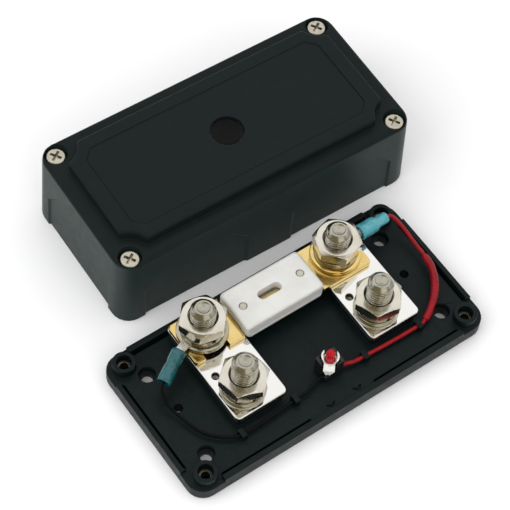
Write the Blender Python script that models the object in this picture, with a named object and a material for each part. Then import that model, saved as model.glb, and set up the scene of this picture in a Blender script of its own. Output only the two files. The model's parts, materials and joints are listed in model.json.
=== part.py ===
"""Bolt-down strip fuse holder with a blown-fuse indicator, its cover lifted off and set down behind it.

Z is up and the ground is z = 0. The origin is the middle of the base plate's underside, X runs along the
base's length and the four studs stand along +Z. Every size below is in millimetres, and MM turns it to metres.
"""

import math

import bpy
import bmesh
from mathutils import Matrix, Vector

MM = 0.001

# Base plate
BASE_X, BASE_Y = 135.0, 66.0
BASE_CORNER = 7.0
FLOOR_Z = 6.0
LIP_Z = 7.5
LIP_WIDTH = 2.0
LIP_END_X, LIP_END_Y = 55.5, 21.5
GROOVE_DEPTH = 2.5
GROOVE_WIDTH = 1.2
SCREW_X, SCREW_Y = 60.2, 27.0
BOSS_R, BOSS_Z = 4.6, 10.0
BOSS_BORE_R, BOSS_BORE_Z = 2.9, 1.2
INSERT_OUTER_R, INSERT_INNER_R = 2.6, 2.1
INSERT_Z = (1.5, 7.0)
MOUNT_X, MOUNT_Y = 54.7, 19.6
MOUNT_R, MOUNT_RECESS_R, MOUNT_RECESS_DEPTH = 2.25, 3.3, 3.0
DRAIN_X, DRAIN_Y, DRAIN_R = 52.8, 1.5, 1.7
SIDE_GROOVE_HALF = 20.8
LONG_GROOVE_X, LONG_GROOVE_Y = (14.5, 55.0), 29.9
CLIPS = ((-40.0, -21.4), (-15.4, -20.6), (17.3, -20.0), (42.5, -20.7))
JAW_HALF_X, JAW_HALF_Y, JAW_TOP = 1.1, 1.95, 9.7
JAW_SLOT_HALF, JAW_SLOT_Z = 1.15, (7.0, 9.1)
CLEAR_Z = 12.0
NOTCHES = ((-4.6, -29.1), (7.8, -28.8))
NOTCH_OUTLINE = ((-2.2, 0.9), (-1.0, 0.9), (0.0, -0.2), (1.0, 0.9), (2.2, 0.9), (0.0, -1.4))
NOTCH_DEPTH = 0.8

# Studs and bus bars: the stud pair is 0.8 right of the base's middle
STUD_X = (0.8 - 30.95, 0.8 + 30.95)
FUSE_Y, CABLE_Y = 19.5, -7.3
STUD_R = 5.0
STUD_TOP = 32.5
STUD_TIP_R = 3.1
STUD_TAPER = ((0.0, 1.8), (0.35, 1.25), (0.95, 0.65))
STUD_DIMPLE_R, STUD_DIMPLE_DEPTH = 2.5, 1.1
HEAD_AF, HEAD_Z = 16.0, (0.4, 5.4)
POCKET_AF, POCKET_Z = 16.6, 5.6
HOLE_R = 5.3
BAR_SHIFT = 1.6
BAR_HALF = 11.5
BAR_Y = (-17.9, 29.2)
BAR_Z = (10.0, 13.0)
PLINTH_Z = 9.8
PLINTH_INSET = 1.0
BAR_SMALL_HOLE = (-6.0, 1.9, 1.6)
BAR_SMALL_DEPTH = 2.5

# Hardware on each stud, from the bar upwards
NUT_AF = 17.0
FUSE_NUT_TURN = (-12.0, 15.0)
CABLE_NUT_TURN = (-19.0, -9.0)
FUSE_WASHER = (15.4, 17.2, 10.0)
FUSE_SPRING = (18.4, 20.9, 8.9)
FUSE_NUT = (21.1, 26.6)
CABLE_WASHER = (13.2, 14.7, 8.9)
CABLE_SPRING = (14.9, 17.0, 8.3)
CABLE_NUT = (17.2, 22.7)

# Fuse
BLADE_X = (-40.1, 41.5)
BLADE_Y = (8.9, 28.2)
BLADE_Z = (13.2, 15.2)
BLADE_SLOT_R = 5.4
NECK_X = (-17.8, 18.8)
NECK_HALF = 5.0
FUSE_MID_X, FUSE_MID_Y = 0.5, 18.0
TOP_X, TOP_Z = (-17.5, 18.5), (14.3, 19.8)
BOTTOM_X, BOTTOM_Z = (-16.7, 18.3), (11.9, 14.1)
BODY_Y = (8.5, 27.3)
CHANNEL_HALF = 5.4
CHANNEL_Z = (12.9, 15.5)
RIVET_X, RIVET_R, RIVET_HOLE_R = (-12.8, 13.6), 1.4, 1.65
WINDOW = (-0.6, 10.3, 4.0)

# Indicator lamp
LED_X, LED_Y = 3.0, -16.4
SOCKET_X, SOCKET_Y, SOCKET_Z = (-1.4, 7.4), (-20.0, -12.9), (6.3, 14.5)
WELL_HALF, WELL_FLOOR = 2.95, 7.3
ENTRY_Y, ENTRY_Z, ENTRY_R = -18.3, 8.5, 1.05
LAMP_TURN = math.radians(-40)
OPEN_HALF, OPEN_FLOOR = 2.85, 9.2
CUP = ((1.2, 9.8), (2.3, 9.8), (2.75, 14.2), (3.5, 16.9), (2.7, 17.0), (2.35, 15.6), (2.25, 13.9), (1.2, 13.9))
SLIT_HALF, SLIT_FLOOR, SLIT_REACH = 2.4, 14.2, 6.0
APRON_NEAR, APRON_FAR, APRON_LEAN = -2.0, -4.4, 0.6
APRON = ((-2.2, 14.8), (-1.05, 9.8), (-0.5, 9.8), (-0.1, 10.8), (0.4, 9.8), (0.9, 10.8), (2.2, 14.8))
APRON_FOOT = 9.8
LENS_R, LENS_FOOT, LENS_RIM, LENS_TOP = 1.75, 14.1, 14.8, 20.5

# Ring terminals, sleeves and leads
RING_Z = (17.4, 18.2)
RING_R = 8.2
TONGUE_HALF = 2.2
BARREL_R = 1.9
SLEEVE_LEFT = ((-42.4, 16.3, 17.7), (-54.0, 9.6, 15.2))
SLEEVE_RIGHT = ((43.4, 20.8, 17.8), (57.2, 21.8, 16.0))
LEAD_R, BLACK_LEAD_R = 0.8, 0.6
SHRINK_OUTER_R, SHRINK_INNER_R = 1.6, 1.2
RESISTOR_R = 0.9

# Cover, in its own frame: z = 0 is its open rim
COVER_AT = (18.8, 75.4)
COVER_TURN = math.radians(-1.8)
COVER_X, COVER_Y, COVER_CORNER = 135.0, 66.0, 7.5
DRAFT_X, DRAFT_Y = 1.2, 0.8
FLANGE_Z, PLATEAU_Z = 37.0, 41.4
EDGE_R = 1.6
WALL, ROOF = 2.2, 2.4
PLATEAU_X, PLATEAU_Y, PLATEAU_SCOOP = 59.8, 26.0, 7.8
PANEL_X, PANEL_Y, PANEL_CHAMFER, PANEL_DEPTH = 53.0, 20.0, 4.0, 0.4
CENTRE_HOLE_R = 6.6
POST_R, POST_TOP_R, POST_HOLE_R, POST_FOOT = 5.0, 6.2, 2.3, 3.2
SEAT_Z, SEAT_R = 31.5, 4.6
KNOCK_DEPTH = 0.8
SCREW_HEAD_R, SCREW_HEAD_Z, SCREW_R, SCREW_TIP = 4.0, (33.3, 35.7), 2.0, 3.3
ABOVE = PLATEAU_Z + 5.0


def clear_scene():
    for obj in list(bpy.data.objects):
        bpy.data.objects.remove(obj, do_unlink=True)


def material(name, colour, metallic, roughness, transmission=0.0):
    mat = bpy.data.materials.new(name)
    mat.use_nodes = True
    shader = mat.node_tree.nodes["Principled BSDF"]
    shader.inputs["Base Color"].default_value = (*colour, 1.0)
    shader.inputs["Metallic"].default_value = metallic
    shader.inputs["Roughness"].default_value = roughness
    shader.inputs["Transmission Weight"].default_value = transmission
    return mat


def make(name, vertices, faces, mat, origin=(0.0, 0.0, 0.0)):
    """An object from vertices in millimetres, its own origin put at the given point, with outward normals."""
    shift = Vector(origin)
    mesh = bpy.data.meshes.new(name)
    mesh.from_pydata([(Vector(v) - shift) * MM for v in vertices], [], faces)
    work = bmesh.new()
    work.from_mesh(mesh)
    bmesh.ops.recalc_face_normals(work, faces=work.faces)
    work.to_mesh(mesh)
    work.free()
    obj = bpy.data.objects.new(name, mesh)
    bpy.context.scene.collection.objects.link(obj)
    obj.location = shift * MM
    if mat:
        mesh.materials.append(mat)
    return obj


def circle(x, y, r, count=24, start=0.0):
    """Points round a circle, the first at the angle start from +X."""
    turns = [start + 2 * math.pi * i / count for i in range(count)]
    return [(x + r * math.cos(a), y + r * math.sin(a)) for a in turns]


def hexagon(x, y, across_flats, per_side=4, start=0.0):
    """Points round a hexagon, per_side of them to each side, its first corner at the angle start from +X."""
    corners = circle(x, y, across_flats / math.sqrt(3), 6, start)
    points = []
    for start, end in zip(corners, corners[1:] + corners[:1]):
        for i in range(per_side):
            t = i / per_side
            points.append((start[0] + t * (end[0] - start[0]), start[1] + t * (end[1] - start[1])))
    return points


def rounded(x0, x1, y0, y1, r, steps=5):
    """A rectangle with rounded corners, anticlockwise from the right-hand end of its front."""
    centres = ((x1 - r, y0 + r, -90), (x1 - r, y1 - r, 0), (x0 + r, y1 - r, 90), (x0 + r, y0 + r, 180))
    points = []
    for cx, cy, first in centres:
        for i in range(steps + 1):
            a = math.radians(first + 90 * i / steps)
            points.append((cx + r * math.cos(a), cy + r * math.sin(a)))
    return points


def box_outline(x0, x1, y0, y1):
    return [(x0, y0), (x1, y0), (x1, y1), (x0, y1)]


def loft(name, sections, mat=None, origin=(0.0, 0.0, 0.0)):
    """A closed solid through a list of (outline, z), where each outline has the same number of points."""
    count = len(sections[0][0])
    vertices = [(x, y, z) for outline, z in sections for x, y in outline]
    faces = [tuple(reversed(range(count)))]
    for level in range(len(sections) - 1):
        low = level * count
        for i in range(count):
            j = (i + 1) % count
            faces.append((low + i, low + j, low + count + j, low + count + i))
    last = (len(sections) - 1) * count
    faces.append(tuple(range(last, last + count)))
    return make(name, vertices, faces, mat, origin)


def prism(name, outline, z0, z1, mat=None, origin=(0.0, 0.0, 0.0)):
    return loft(name, [(outline, z0), (outline, z1)], mat, origin)


def ring(name, x, y, profile, mat=None, count=24):
    """A closed ring: a closed profile of (radius, z) turned about the vertical line through (x, y)."""
    vertices = []
    for i in range(count):
        a = 2 * math.pi * i / count
        vertices += [(x + r * math.cos(a), y + r * math.sin(a), z) for r, z in profile]
    n = len(profile)
    faces = []
    for i in range(count):
        here, there = i * n, ((i + 1) % count) * n
        for k in range(n):
            m = (k + 1) % n
            faces.append((here + k, there + k, there + m, here + m))
    return make(name, vertices, faces, mat, (x, y, profile[0][1]))


def turned(name, x, y, profile, mat=None, count=24):
    """A solid of revolution from a list of (radius, z), each radius above zero, with flat ends."""
    sections = [(circle(x, y, r, count), z) for r, z in profile]
    return loft(name, sections, mat, (x, y, profile[0][1]))


def boolean(obj, other, operation):
    modifier = obj.modifiers.new(other.name, "BOOLEAN")
    modifier.operation = operation
    modifier.solver = "EXACT"
    modifier.object = other
    other.hide_render = True
    other.display_type = "WIRE"


def cut(obj, *cutters):
    for cutter in cutters:
        boolean(obj, cutter, "DIFFERENCE")


def join(obj, *others):
    for other in others:
        boolean(obj, other, "UNION")


def lay_along(obj, start, end):
    """Moves an object built on the Z axis from z = 0 so that this axis runs from start towards end."""
    direction = Vector(end) - Vector(start)
    turn = direction.to_track_quat("Z", "Y").to_matrix().to_4x4()
    obj.matrix_world = Matrix.Translation(Vector(start) * MM) @ turn


def smooth_path(knots, spacing):
    """Points about this far apart along a Catmull-Rom curve through the knots."""
    knots = [Vector(k) for k in knots]
    padded = [2 * knots[0] - knots[1]] + knots + [2 * knots[-1] - knots[-2]]
    points = [knots[0]]
    for a, b, c, d in zip(padded, padded[1:], padded[2:], padded[3:]):
        pieces = max(1, round((c - b).length / spacing))
        for i in range(1, pieces + 1):
            t = i / pieces
            pull = (c - a) * t + (2 * a - 5 * b + 4 * c - d) * t * t + (3 * b - a - 3 * c + d) * t**3
            points.append(b + pull / 2)
    return points


def wire(name, knots, radius, mat, spacing=4.0):
    curve = bpy.data.curves.new(name, "CURVE")
    curve.dimensions = "3D"
    curve.bevel_depth = radius * MM
    curve.bevel_resolution = 2
    curve.use_fill_caps = True
    points = smooth_path(knots, spacing)
    spline = curve.splines.new("POLY")
    spline.points.add(len(points) - 1)
    for target, point in zip(spline.points, points):
        target.co = (*(point * MM), 1.0)
    curve.materials.append(mat)
    obj = bpy.data.objects.new(name, curve)
    bpy.context.scene.collection.objects.link(obj)
    return obj


def hose(name, knots, outer, inner, mat, spacing=3.0, count=12):
    """A tube of constant bore along a smooth path, its ends cut square."""
    points = smooth_path(knots, spacing)
    vertices = []
    for i, point in enumerate(points):
        before, after = points[max(i - 1, 0)], points[min(i + 1, len(points) - 1)]
        along = (after - before).normalized()
        side = along.cross(Vector((0, 0, 1))).normalized()
        up = side.cross(along)
        for radius in (outer, inner):
            for k in range(count):
                a = 2 * math.pi * k / count
                vertices.append(point + radius * (math.cos(a) * side + math.sin(a) * up))
    faces = []
    step = 2 * count
    for k in range(count):
        m = (k + 1) % count
        for i in range(len(points) - 1):
            low, high = i * step, (i + 1) * step
            faces.append((low + k, low + m, high + m, high + k))
            faces.append((low + count + m, low + count + k, high + count + k, high + count + m))
        last = (len(points) - 1) * step
        faces.append((k, count + k, count + m, m))
        faces.append((last + k, last + m, last + count + m, last + count + k))
    return make(name, vertices, faces, mat)


def build_base(mat):
    """The moulded base: a thick floor with a low lip, grooves, bosses, plinths, pockets and lead clips."""
    half_x, half_y = BASE_X / 2, BASE_Y / 2
    edge = 0.5
    outline = rounded(-half_x, half_x, -half_y, half_y, BASE_CORNER, 6)
    foot = rounded(edge - half_x, half_x - edge, edge - half_y, half_y - edge, BASE_CORNER - edge, 6)
    base = loft("base_plate", [(foot, 0.0), (outline, edge), (outline, LIP_Z)], mat)

    lip_x, lip_y, past = half_x - LIP_WIDTH - 0.5, half_y - LIP_WIDTH - 0.5, 4.0
    quarter = [
        (lip_x, LIP_END_Y),
        (half_x + past, LIP_END_Y),
        (half_x + past, half_y + past),
        (LIP_END_X, half_y + past),
        (LIP_END_X, lip_y),
    ]
    recess = list(quarter)
    recess += [(-x, y) for x, y in reversed(quarter)]
    recess += [(-x, -y) for x, y in quarter]
    recess += [(x, -y) for x, y in reversed(quarter)]
    cut(base, prism("cut_floor", recess, FLOOR_Z, LIP_Z + 5))

    for sx in (-1, 1):
        plinth_mid = STUD_X[(sx + 1) // 2] + BAR_SHIFT
        plinth_half = BAR_HALF - PLINTH_INSET
        plinth = rounded(
            plinth_mid - plinth_half,
            plinth_mid + plinth_half,
            BAR_Y[0] + PLINTH_INSET,
            BAR_Y[1] - PLINTH_INSET,
            1.5,
            3,
        )
        join(base, prism(f"add_plinth_{sx}", plinth, 4.0, PLINTH_Z))
        for sy in (-1, 1):
            boss = circle(sx * SCREW_X, sy * SCREW_Y, BOSS_R)
            join(base, prism(f"add_boss_{sx}_{sy}", boss, 3.0, BOSS_Z))
    for i, (x, y) in enumerate(CLIPS):
        jaw = box_outline(x - JAW_HALF_X, x + JAW_HALF_X, y - JAW_HALF_Y, y + JAW_HALF_Y)
        join(base, prism(f"add_clip_{i}", jaw, FLOOR_Z - 1.0, JAW_TOP))
        slot = box_outline(x - JAW_HALF_X - 2, x + JAW_HALF_X + 2, y - JAW_SLOT_HALF, y + JAW_SLOT_HALF)
        cut(base, prism(f"cut_clip_{i}", slot, *JAW_SLOT_Z))

    half_wide = GROOVE_WIDTH / 2
    for sx in (-1, 1):
        side_x = sx * (half_x - LIP_WIDTH - half_wide)
        groove = rounded(side_x - half_wide, side_x + half_wide, -SIDE_GROOVE_HALF, SIDE_GROOVE_HALF, 0.55, 2)
        cut(base, prism(f"cut_side_groove_{sx}", groove, FLOOR_Z - GROOVE_DEPTH, CLEAR_Z))
        for sy in (-1, 1):
            tag = f"{sx}_{sy}"
            x0, x1 = sorted(sx * x for x in LONG_GROOVE_X)
            y = sy * LONG_GROOVE_Y
            groove = rounded(x0, x1, y - half_wide, y + half_wide, 0.55, 2)
            cut(base, prism(f"cut_groove_{tag}", groove, FLOOR_Z - GROOVE_DEPTH, CLEAR_Z))
            bore = circle(sx * SCREW_X, sy * SCREW_Y, BOSS_BORE_R)
            cut(base, prism(f"cut_bore_{tag}", bore, BOSS_BORE_Z, CLEAR_Z))
            through = circle(sx * MOUNT_X, sy * MOUNT_Y, MOUNT_R)
            cut(base, prism(f"cut_mount_{tag}", through, -2.0, CLEAR_Z))
            wide = circle(sx * MOUNT_X, sy * MOUNT_Y, MOUNT_RECESS_R)
            cut(base, prism(f"cut_recess_{tag}", wide, FLOOR_Z - MOUNT_RECESS_DEPTH, CLEAR_Z))
        drain = circle(sx * DRAIN_X, DRAIN_Y, DRAIN_R, 16)
        cut(base, prism(f"cut_drain_{sx}", drain, -2.0, CLEAR_Z))

    for i, (x, y) in enumerate(NOTCHES):
        vee = [(x + dx, y + dy) for dx, dy in NOTCH_OUTLINE]
        cut(base, prism(f"cut_notch_{i}", vee, FLOOR_Z - NOTCH_DEPTH, CLEAR_Z))

    for i, x in enumerate(STUD_X):
        for j, y in enumerate((FUSE_Y, CABLE_Y)):
            pocket = hexagon(x, y, POCKET_AF, 1)
            cut(base, prism(f"cut_pocket_{i}{j}", pocket, -2.0, POCKET_Z))
            cut(base, prism(f"cut_stud_{i}{j}", circle(x, y, HOLE_R), 3.0, CLEAR_Z))
    return base


def build_inserts(mat):
    for side, sx in (("left", -1), ("right", 1)):
        for end, sy in (("front", -1), ("back", 1)):
            z0, z1 = INSERT_Z
            profile = [
                (INSERT_INNER_R, z0),
                (INSERT_OUTER_R, z0),
                (INSERT_OUTER_R, z1),
                (INSERT_INNER_R, z1),
            ]
            ring(f"insert_{end}_{side}", sx * SCREW_X, sy * SCREW_Y, profile, mat, 20)


def build_bars(mat):
    for side, x in zip(("left", "right"), STUD_X):
        x0, x1 = x + BAR_SHIFT - BAR_HALF, x + BAR_SHIFT + BAR_HALF
        y0, y1 = BAR_Y
        z0, z1 = BAR_Z
        e = 0.3
        full = rounded(x0, x1, y0, y1, 2.0, 4)
        less = rounded(x0 + e, x1 - e, y0 + e, y1 - e, 2.0 - e, 4)
        bar = loft(f"bus_bar_{side}", [(less, z0), (full, z0 + e), (full, z1 - e), (less, z1)], mat)
        for y in (FUSE_Y, CABLE_Y):
            cut(bar, prism(f"cut_bar_{side}_{y:.0f}", circle(x, y, HOLE_R), z0 - 2, z1 + 2))
        dx, y, r = BAR_SMALL_HOLE
        cut(bar, prism(f"cut_bar_small_{side}", circle(x + dx, y, r, 16), z1 - BAR_SMALL_DEPTH, z1 + 2))


def build_stud(name, x, y, mat):
    """A hex-headed bolt standing head down, with a chamfered tip and a centre dimple."""
    head = hexagon(x, y, HEAD_AF)
    sections = [(head, HEAD_Z[0]), (head, HEAD_Z[1])]
    for r, z in (
        (STUD_R, HEAD_Z[1]),
        *((STUD_R - less, STUD_TOP - down) for less, down in STUD_TAPER),
        (STUD_TIP_R, STUD_TOP),
        (STUD_DIMPLE_R, STUD_TOP),
        (0.3, STUD_TOP - STUD_DIMPLE_DEPTH),
    ):
        sections.append((circle(x, y, r), z))
    loft(name, sections, mat, (x, y, HEAD_Z[0]))


def build_nut(name, x, y, z0, z1, turn, mat):
    """A hexagon nut: a ring with chamfered ends cut down to six flats."""
    corner = NUT_AF / math.sqrt(3) + 0.05
    flat = NUT_AF / 2 - 0.1
    profile = [
        (HOLE_R + 0.4, z0),
        (flat, z0),
        (corner, z0 + 0.8),
        (corner, z1 - 0.8),
        (flat, z1),
        (HOLE_R + 0.4, z1),
        (HOLE_R, z1 - 0.4),
        (HOLE_R, z0 + 0.4),
    ]
    nut = ring(name, x, y, profile, mat, 24)
    flats = prism(f"flats_{name}", hexagon(x, y, NUT_AF, 1, math.radians(turn)), z0 - 2, z1 + 2)
    boolean(nut, flats, "INTERSECT")


def build_spring_washer(name, x, y, z0, z1, r, mat):
    """A split lock washer: a flat band wound almost once round, its ends a little apart in height."""
    rise = 0.4
    thick = z1 - z0 - rise
    count = 22
    gap = 0.14
    vertices = []
    for i in range(count + 1):
        t = i / count
        a = math.radians(-100) + gap / 2 + t * (2 * math.pi - gap)
        low = z0 + rise * t
        for radius, z in ((HOLE_R, low), (r, low), (r, low + thick), (HOLE_R, low + thick)):
            vertices.append((x + radius * math.cos(a), y + radius * math.sin(a), z))
    faces = [(0, 1, 2, 3), (4 * count + 3, 4 * count + 2, 4 * count + 1, 4 * count)]
    for i in range(count):
        for k in range(4):
            m = (k + 1) % 4
            faces.append((4 * i + k, 4 * i + 4 + k, 4 * i + 4 + m, 4 * i + m))
    make(name, vertices, faces, mat, (x, y, z0))


def build_flat_washer(name, x, y, z0, z1, r, mat):
    e = 0.2
    profile = [(HOLE_R, z0), (r, z0), (r, z1 - e), (r - e, z1), (HOLE_R, z1)]
    ring(name, x, y, profile, mat, 24)


def build_studs(steel, brassy):
    for i, side in enumerate(("left", "right")):
        x = STUD_X[i]
        build_stud(f"fuse_stud_{side}", x, FUSE_Y, steel)
        build_stud(f"cable_stud_{side}", x, CABLE_Y, steel)
        washer_metal = brassy if side == "right" else steel
        build_flat_washer(f"fuse_flat_washer_{side}", x, FUSE_Y, *FUSE_WASHER, washer_metal)
        build_flat_washer(f"cable_flat_washer_{side}", x, CABLE_Y, *CABLE_WASHER, steel)
        build_spring_washer(f"fuse_spring_washer_{side}", x, FUSE_Y, *FUSE_SPRING, steel)
        build_spring_washer(f"cable_spring_washer_{side}", x, CABLE_Y, *CABLE_SPRING, steel)
        build_nut(f"fuse_nut_{side}", x, FUSE_Y, *FUSE_NUT, FUSE_NUT_TURN[i], steel)
        build_nut(f"cable_nut_{side}", x, CABLE_Y, *CABLE_NUT, CABLE_NUT_TURN[i], steel)


def build_element(mat):
    """The fuse link: two wide end tabs joined by a narrow neck that thins to the melting strip."""
    x0, x1 = BLADE_X
    y0, y1 = BLADE_Y
    z0, z1 = BLADE_Z
    element = prism("fuse_element", rounded(x0, x1, y0, y1, 1.5, 3), z0, z1, mat)
    past = 3.0
    low, high = FUSE_MID_Y - NECK_HALF, FUSE_MID_Y + NECK_HALF
    for tag, edge, outer in (("front", low, y0 - past), ("back", high, y1 + past)):
        y_pair = sorted((edge, outer))
        cut(element, prism(f"cut_neck_{tag}", box_outline(*NECK_X, *y_pair), z0 - 2, z1 + 2))
        strip = 1.3 if tag == "back" else -1.3
        y_pair = sorted((FUSE_MID_Y + strip, outer))
        waist = box_outline(FUSE_MID_X - 4.2, FUSE_MID_X + 4.2, *y_pair)
        cut(element, prism(f"cut_waist_{tag}", waist, z0 - 2, z1 + 2))
    for i, x in enumerate(RIVET_X):
        cut(element, prism(f"cut_element_rivet_{i}", circle(x, FUSE_MID_Y, 2.0, 16), z0 - 2, z1 + 2))

    stud = STUD_X[0]
    r = BLADE_SLOT_R
    slot = [(stud - r, y0 - past), (stud + r, y0 - past)]
    slot += [
        (stud + r * math.cos(math.radians(a)), FUSE_Y + r * math.sin(math.radians(a)))
        for a in range(0, 181, 15)
    ]
    cut(element, prism("cut_slot", slot, z0 - 2, z1 + 2))
    stud = STUD_X[1]
    hole = rounded(stud - r - 1.2, stud + r + 1.2, FUSE_Y - r, FUSE_Y + r, r - 0.01, 6)
    cut(element, prism("cut_hole", hole, z0 - 2, z1 + 2))


def build_fuse_body(ceramic, metal):
    """Two ceramic shells clamped round the neck by two rivets; the upper one has a viewing window."""
    y0, y1 = BODY_Y
    c0, c1 = CHANNEL_Z
    for name, (x0, x1), (z0, z1), inset_low, inset_high in (
        ("fuse_body_top", TOP_X, TOP_Z, 0.0, 1.0),
        ("fuse_body_bottom", BOTTOM_X, BOTTOM_Z, 0.6, 0.0),
    ):
        sections = []
        for inset, z in (
            (inset_low, z0),
            (0.0, z0 + max(inset_low, 0.1)),
            (0.0, z1 - max(inset_high, 0.1)),
            (inset_high * 0.35, z1 - inset_high * 0.35 - 0.02),
            (inset_high, z1),
        ):
            outline = rounded(x0 + inset, x1 - inset, y0 + inset, y1 - inset, 1.6 + inset * 0.3, 4)
            sections.append((outline, z))
        shell = loft(name, sections, ceramic)
        channel = box_outline(x0 - 3, x1 + 3, FUSE_MID_Y - CHANNEL_HALF, FUSE_MID_Y + CHANNEL_HALF)
        low, high = (c0 - 6, c1) if name == "fuse_body_top" else (c0, c1 + 6)
        cut(shell, prism(f"cut_channel_{name}", channel, low, high))
        for i, x in enumerate(RIVET_X):
            hole = circle(x, FUSE_MID_Y, RIVET_HOLE_R, 16)
            cut(shell, prism(f"cut_rivet_{name}_{i}", hole, z0 - 3, z1 + 3))
        if name == "fuse_body_top":
            mid, length, width = WINDOW
            window = rounded(
                mid - length / 2,
                mid + length / 2,
                FUSE_MID_Y - width / 2,
                FUSE_MID_Y + width / 2,
                width / 2 - 0.01,
                5,
            )
            cut(shell, prism("cut_window", window, z0 - 3, z1 + 3))
    for side, x in zip(("left", "right"), RIVET_X):
        z0, z1 = BOTTOM_Z[0] - 0.2, TOP_Z[1] - 0.2
        profile = [(RIVET_R - 0.3, z0), (RIVET_R, z0 + 0.3), (RIVET_R, z1 - 0.3), (RIVET_R - 0.4, z1)]
        turned(f"fuse_rivet_{side}", x, FUSE_MID_Y, profile, metal, 16)


def about_lamp(outline):
    """An outline drawn round the lamp's own axis, turned to the lamp's heading and moved into place."""
    c, s = math.cos(LAMP_TURN), math.sin(LAMP_TURN)
    return [(LED_X + u * c - v * s, LED_Y + u * s + v * c) for u, v in outline]


def build_lamp(black, white, red):
    """A socket open at one corner, a white two-pronged cup whose apron fills the corner, and a domed lamp."""
    z0, z1 = SOCKET_Z
    socket = prism("led_socket", rounded(*SOCKET_X, *SOCKET_Y, 0.4, 2), z0, z1, black)
    half = WELL_HALF
    well = box_outline(LED_X - half, LED_X + half, LED_Y - half, LED_Y + half)
    cut(socket, prism("cut_well", well, WELL_FLOOR, z1 + 3))
    for i, (start, end) in enumerate(((LED_X + 1.5, SOCKET_X[1] + 2), (LED_X - 1.5, SOCKET_X[0] - 2))):
        entry = turned(f"cut_entry_{i}", 0, 0, [(ENTRY_R, 0.0), (ENTRY_R, abs(end - start))], None, 12)
        lay_along(entry, (start, ENTRY_Y, ENTRY_Z), (end, ENTRY_Y, ENTRY_Z))
        cut(socket, entry)
    corner = about_lamp(box_outline(-OPEN_HALF, OPEN_HALF, -9.0, 0.0))
    cut(socket, prism("cut_corner", corner, OPEN_FLOOR, z1 + 3))

    holder = ring("led_holder", LED_X, LED_Y, list(CUP), white, 24)
    points = []
    for depth, lean in ((APRON_FAR, APRON_LEAN), (APRON_NEAR, 1.0)):
        for u, z in APRON:
            points.append((*about_lamp([(u, depth)])[0], APRON_FOOT + (z - APRON_FOOT) * lean))
    n = len(APRON)
    sides = [(i, (i + 1) % n, n + (i + 1) % n, n + i) for i in range(n)]
    join(holder, make("add_apron", points, [tuple(range(n)), tuple(range(n, 2 * n)), *sides], white))
    slit = about_lamp(box_outline(-SLIT_HALF, SLIT_HALF, -SLIT_REACH, SLIT_REACH))
    cut(holder, prism("cut_slit", slit, SLIT_FLOOR, z1 + 5))

    r, spring = LENS_R, LENS_TOP - LENS_R
    lens = [(r + 0.25, LENS_FOOT), (r + 0.25, LENS_RIM), (r, LENS_RIM), (r, spring)]
    lens += [(r * math.cos(math.radians(a)), spring + r * math.sin(math.radians(a))) for a in (25, 50, 72)]
    lens.append((0.15, LENS_TOP))
    turned("led_lens", LED_X, LED_Y, lens, red, 20)


def build_terminal(side, x, sleeve, metal, plastic):
    """A crimp ring terminal: a stamped ring and tongue, a round barrel, and the sleeve pushed over the crimp."""
    start, end = Vector(sleeve[0]), Vector(sleeve[1])
    z0, z1 = RING_Z
    terminal = prism(f"ring_terminal_{side}", circle(x, FUSE_Y, RING_R, 28), z0, z1, metal)
    reach = Vector((start.x - x, start.y - FUSE_Y, 0))
    across = Vector((-reach.y, reach.x, 0)).normalized() * TONGUE_HALF
    tip = Vector((x, FUSE_Y, 0)) + reach * 1.06
    root = Vector((x, FUSE_Y, 0)) + reach * 0.5
    tongue = [(v.x, v.y) for v in (root + across, root - across, tip - across * 0.7, tip + across * 0.7)]
    join(terminal, prism(f"add_tongue_{side}", tongue, z0, z1))
    axis = (end - start).normalized()
    barrel = turned(f"add_barrel_{side}", 0, 0, [(BARREL_R, 0.0), (BARREL_R, 7.5)], None, 16)
    lay_along(barrel, start - axis * 0.2, end)
    join(terminal, barrel)
    cut(terminal, prism(f"cut_ring_{side}", circle(x, FUSE_Y, HOLE_R), z0 - 2, z1 + 2))

    length = (end - start).length
    if side == "left":
        profile = [(2.25, 0.0), (2.85, 0.0), (2.85, length), (2.25, length)]
    else:
        neck = 7.6
        profile = [
            (2.45, 0.0),
            (3.2, 0.0),
            (3.2, neck),
            (2.35, neck + 1.6),
            (2.35, length),
            (1.75, length),
            (1.75, neck + 1.9),
            (2.45, neck + 0.7),
        ]
    tube = ring(f"terminal_sleeve_{side}", 0, 0, profile, plastic, 20)
    lay_along(tube, start + axis * 0.5, end + axis * 0.5)


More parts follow.
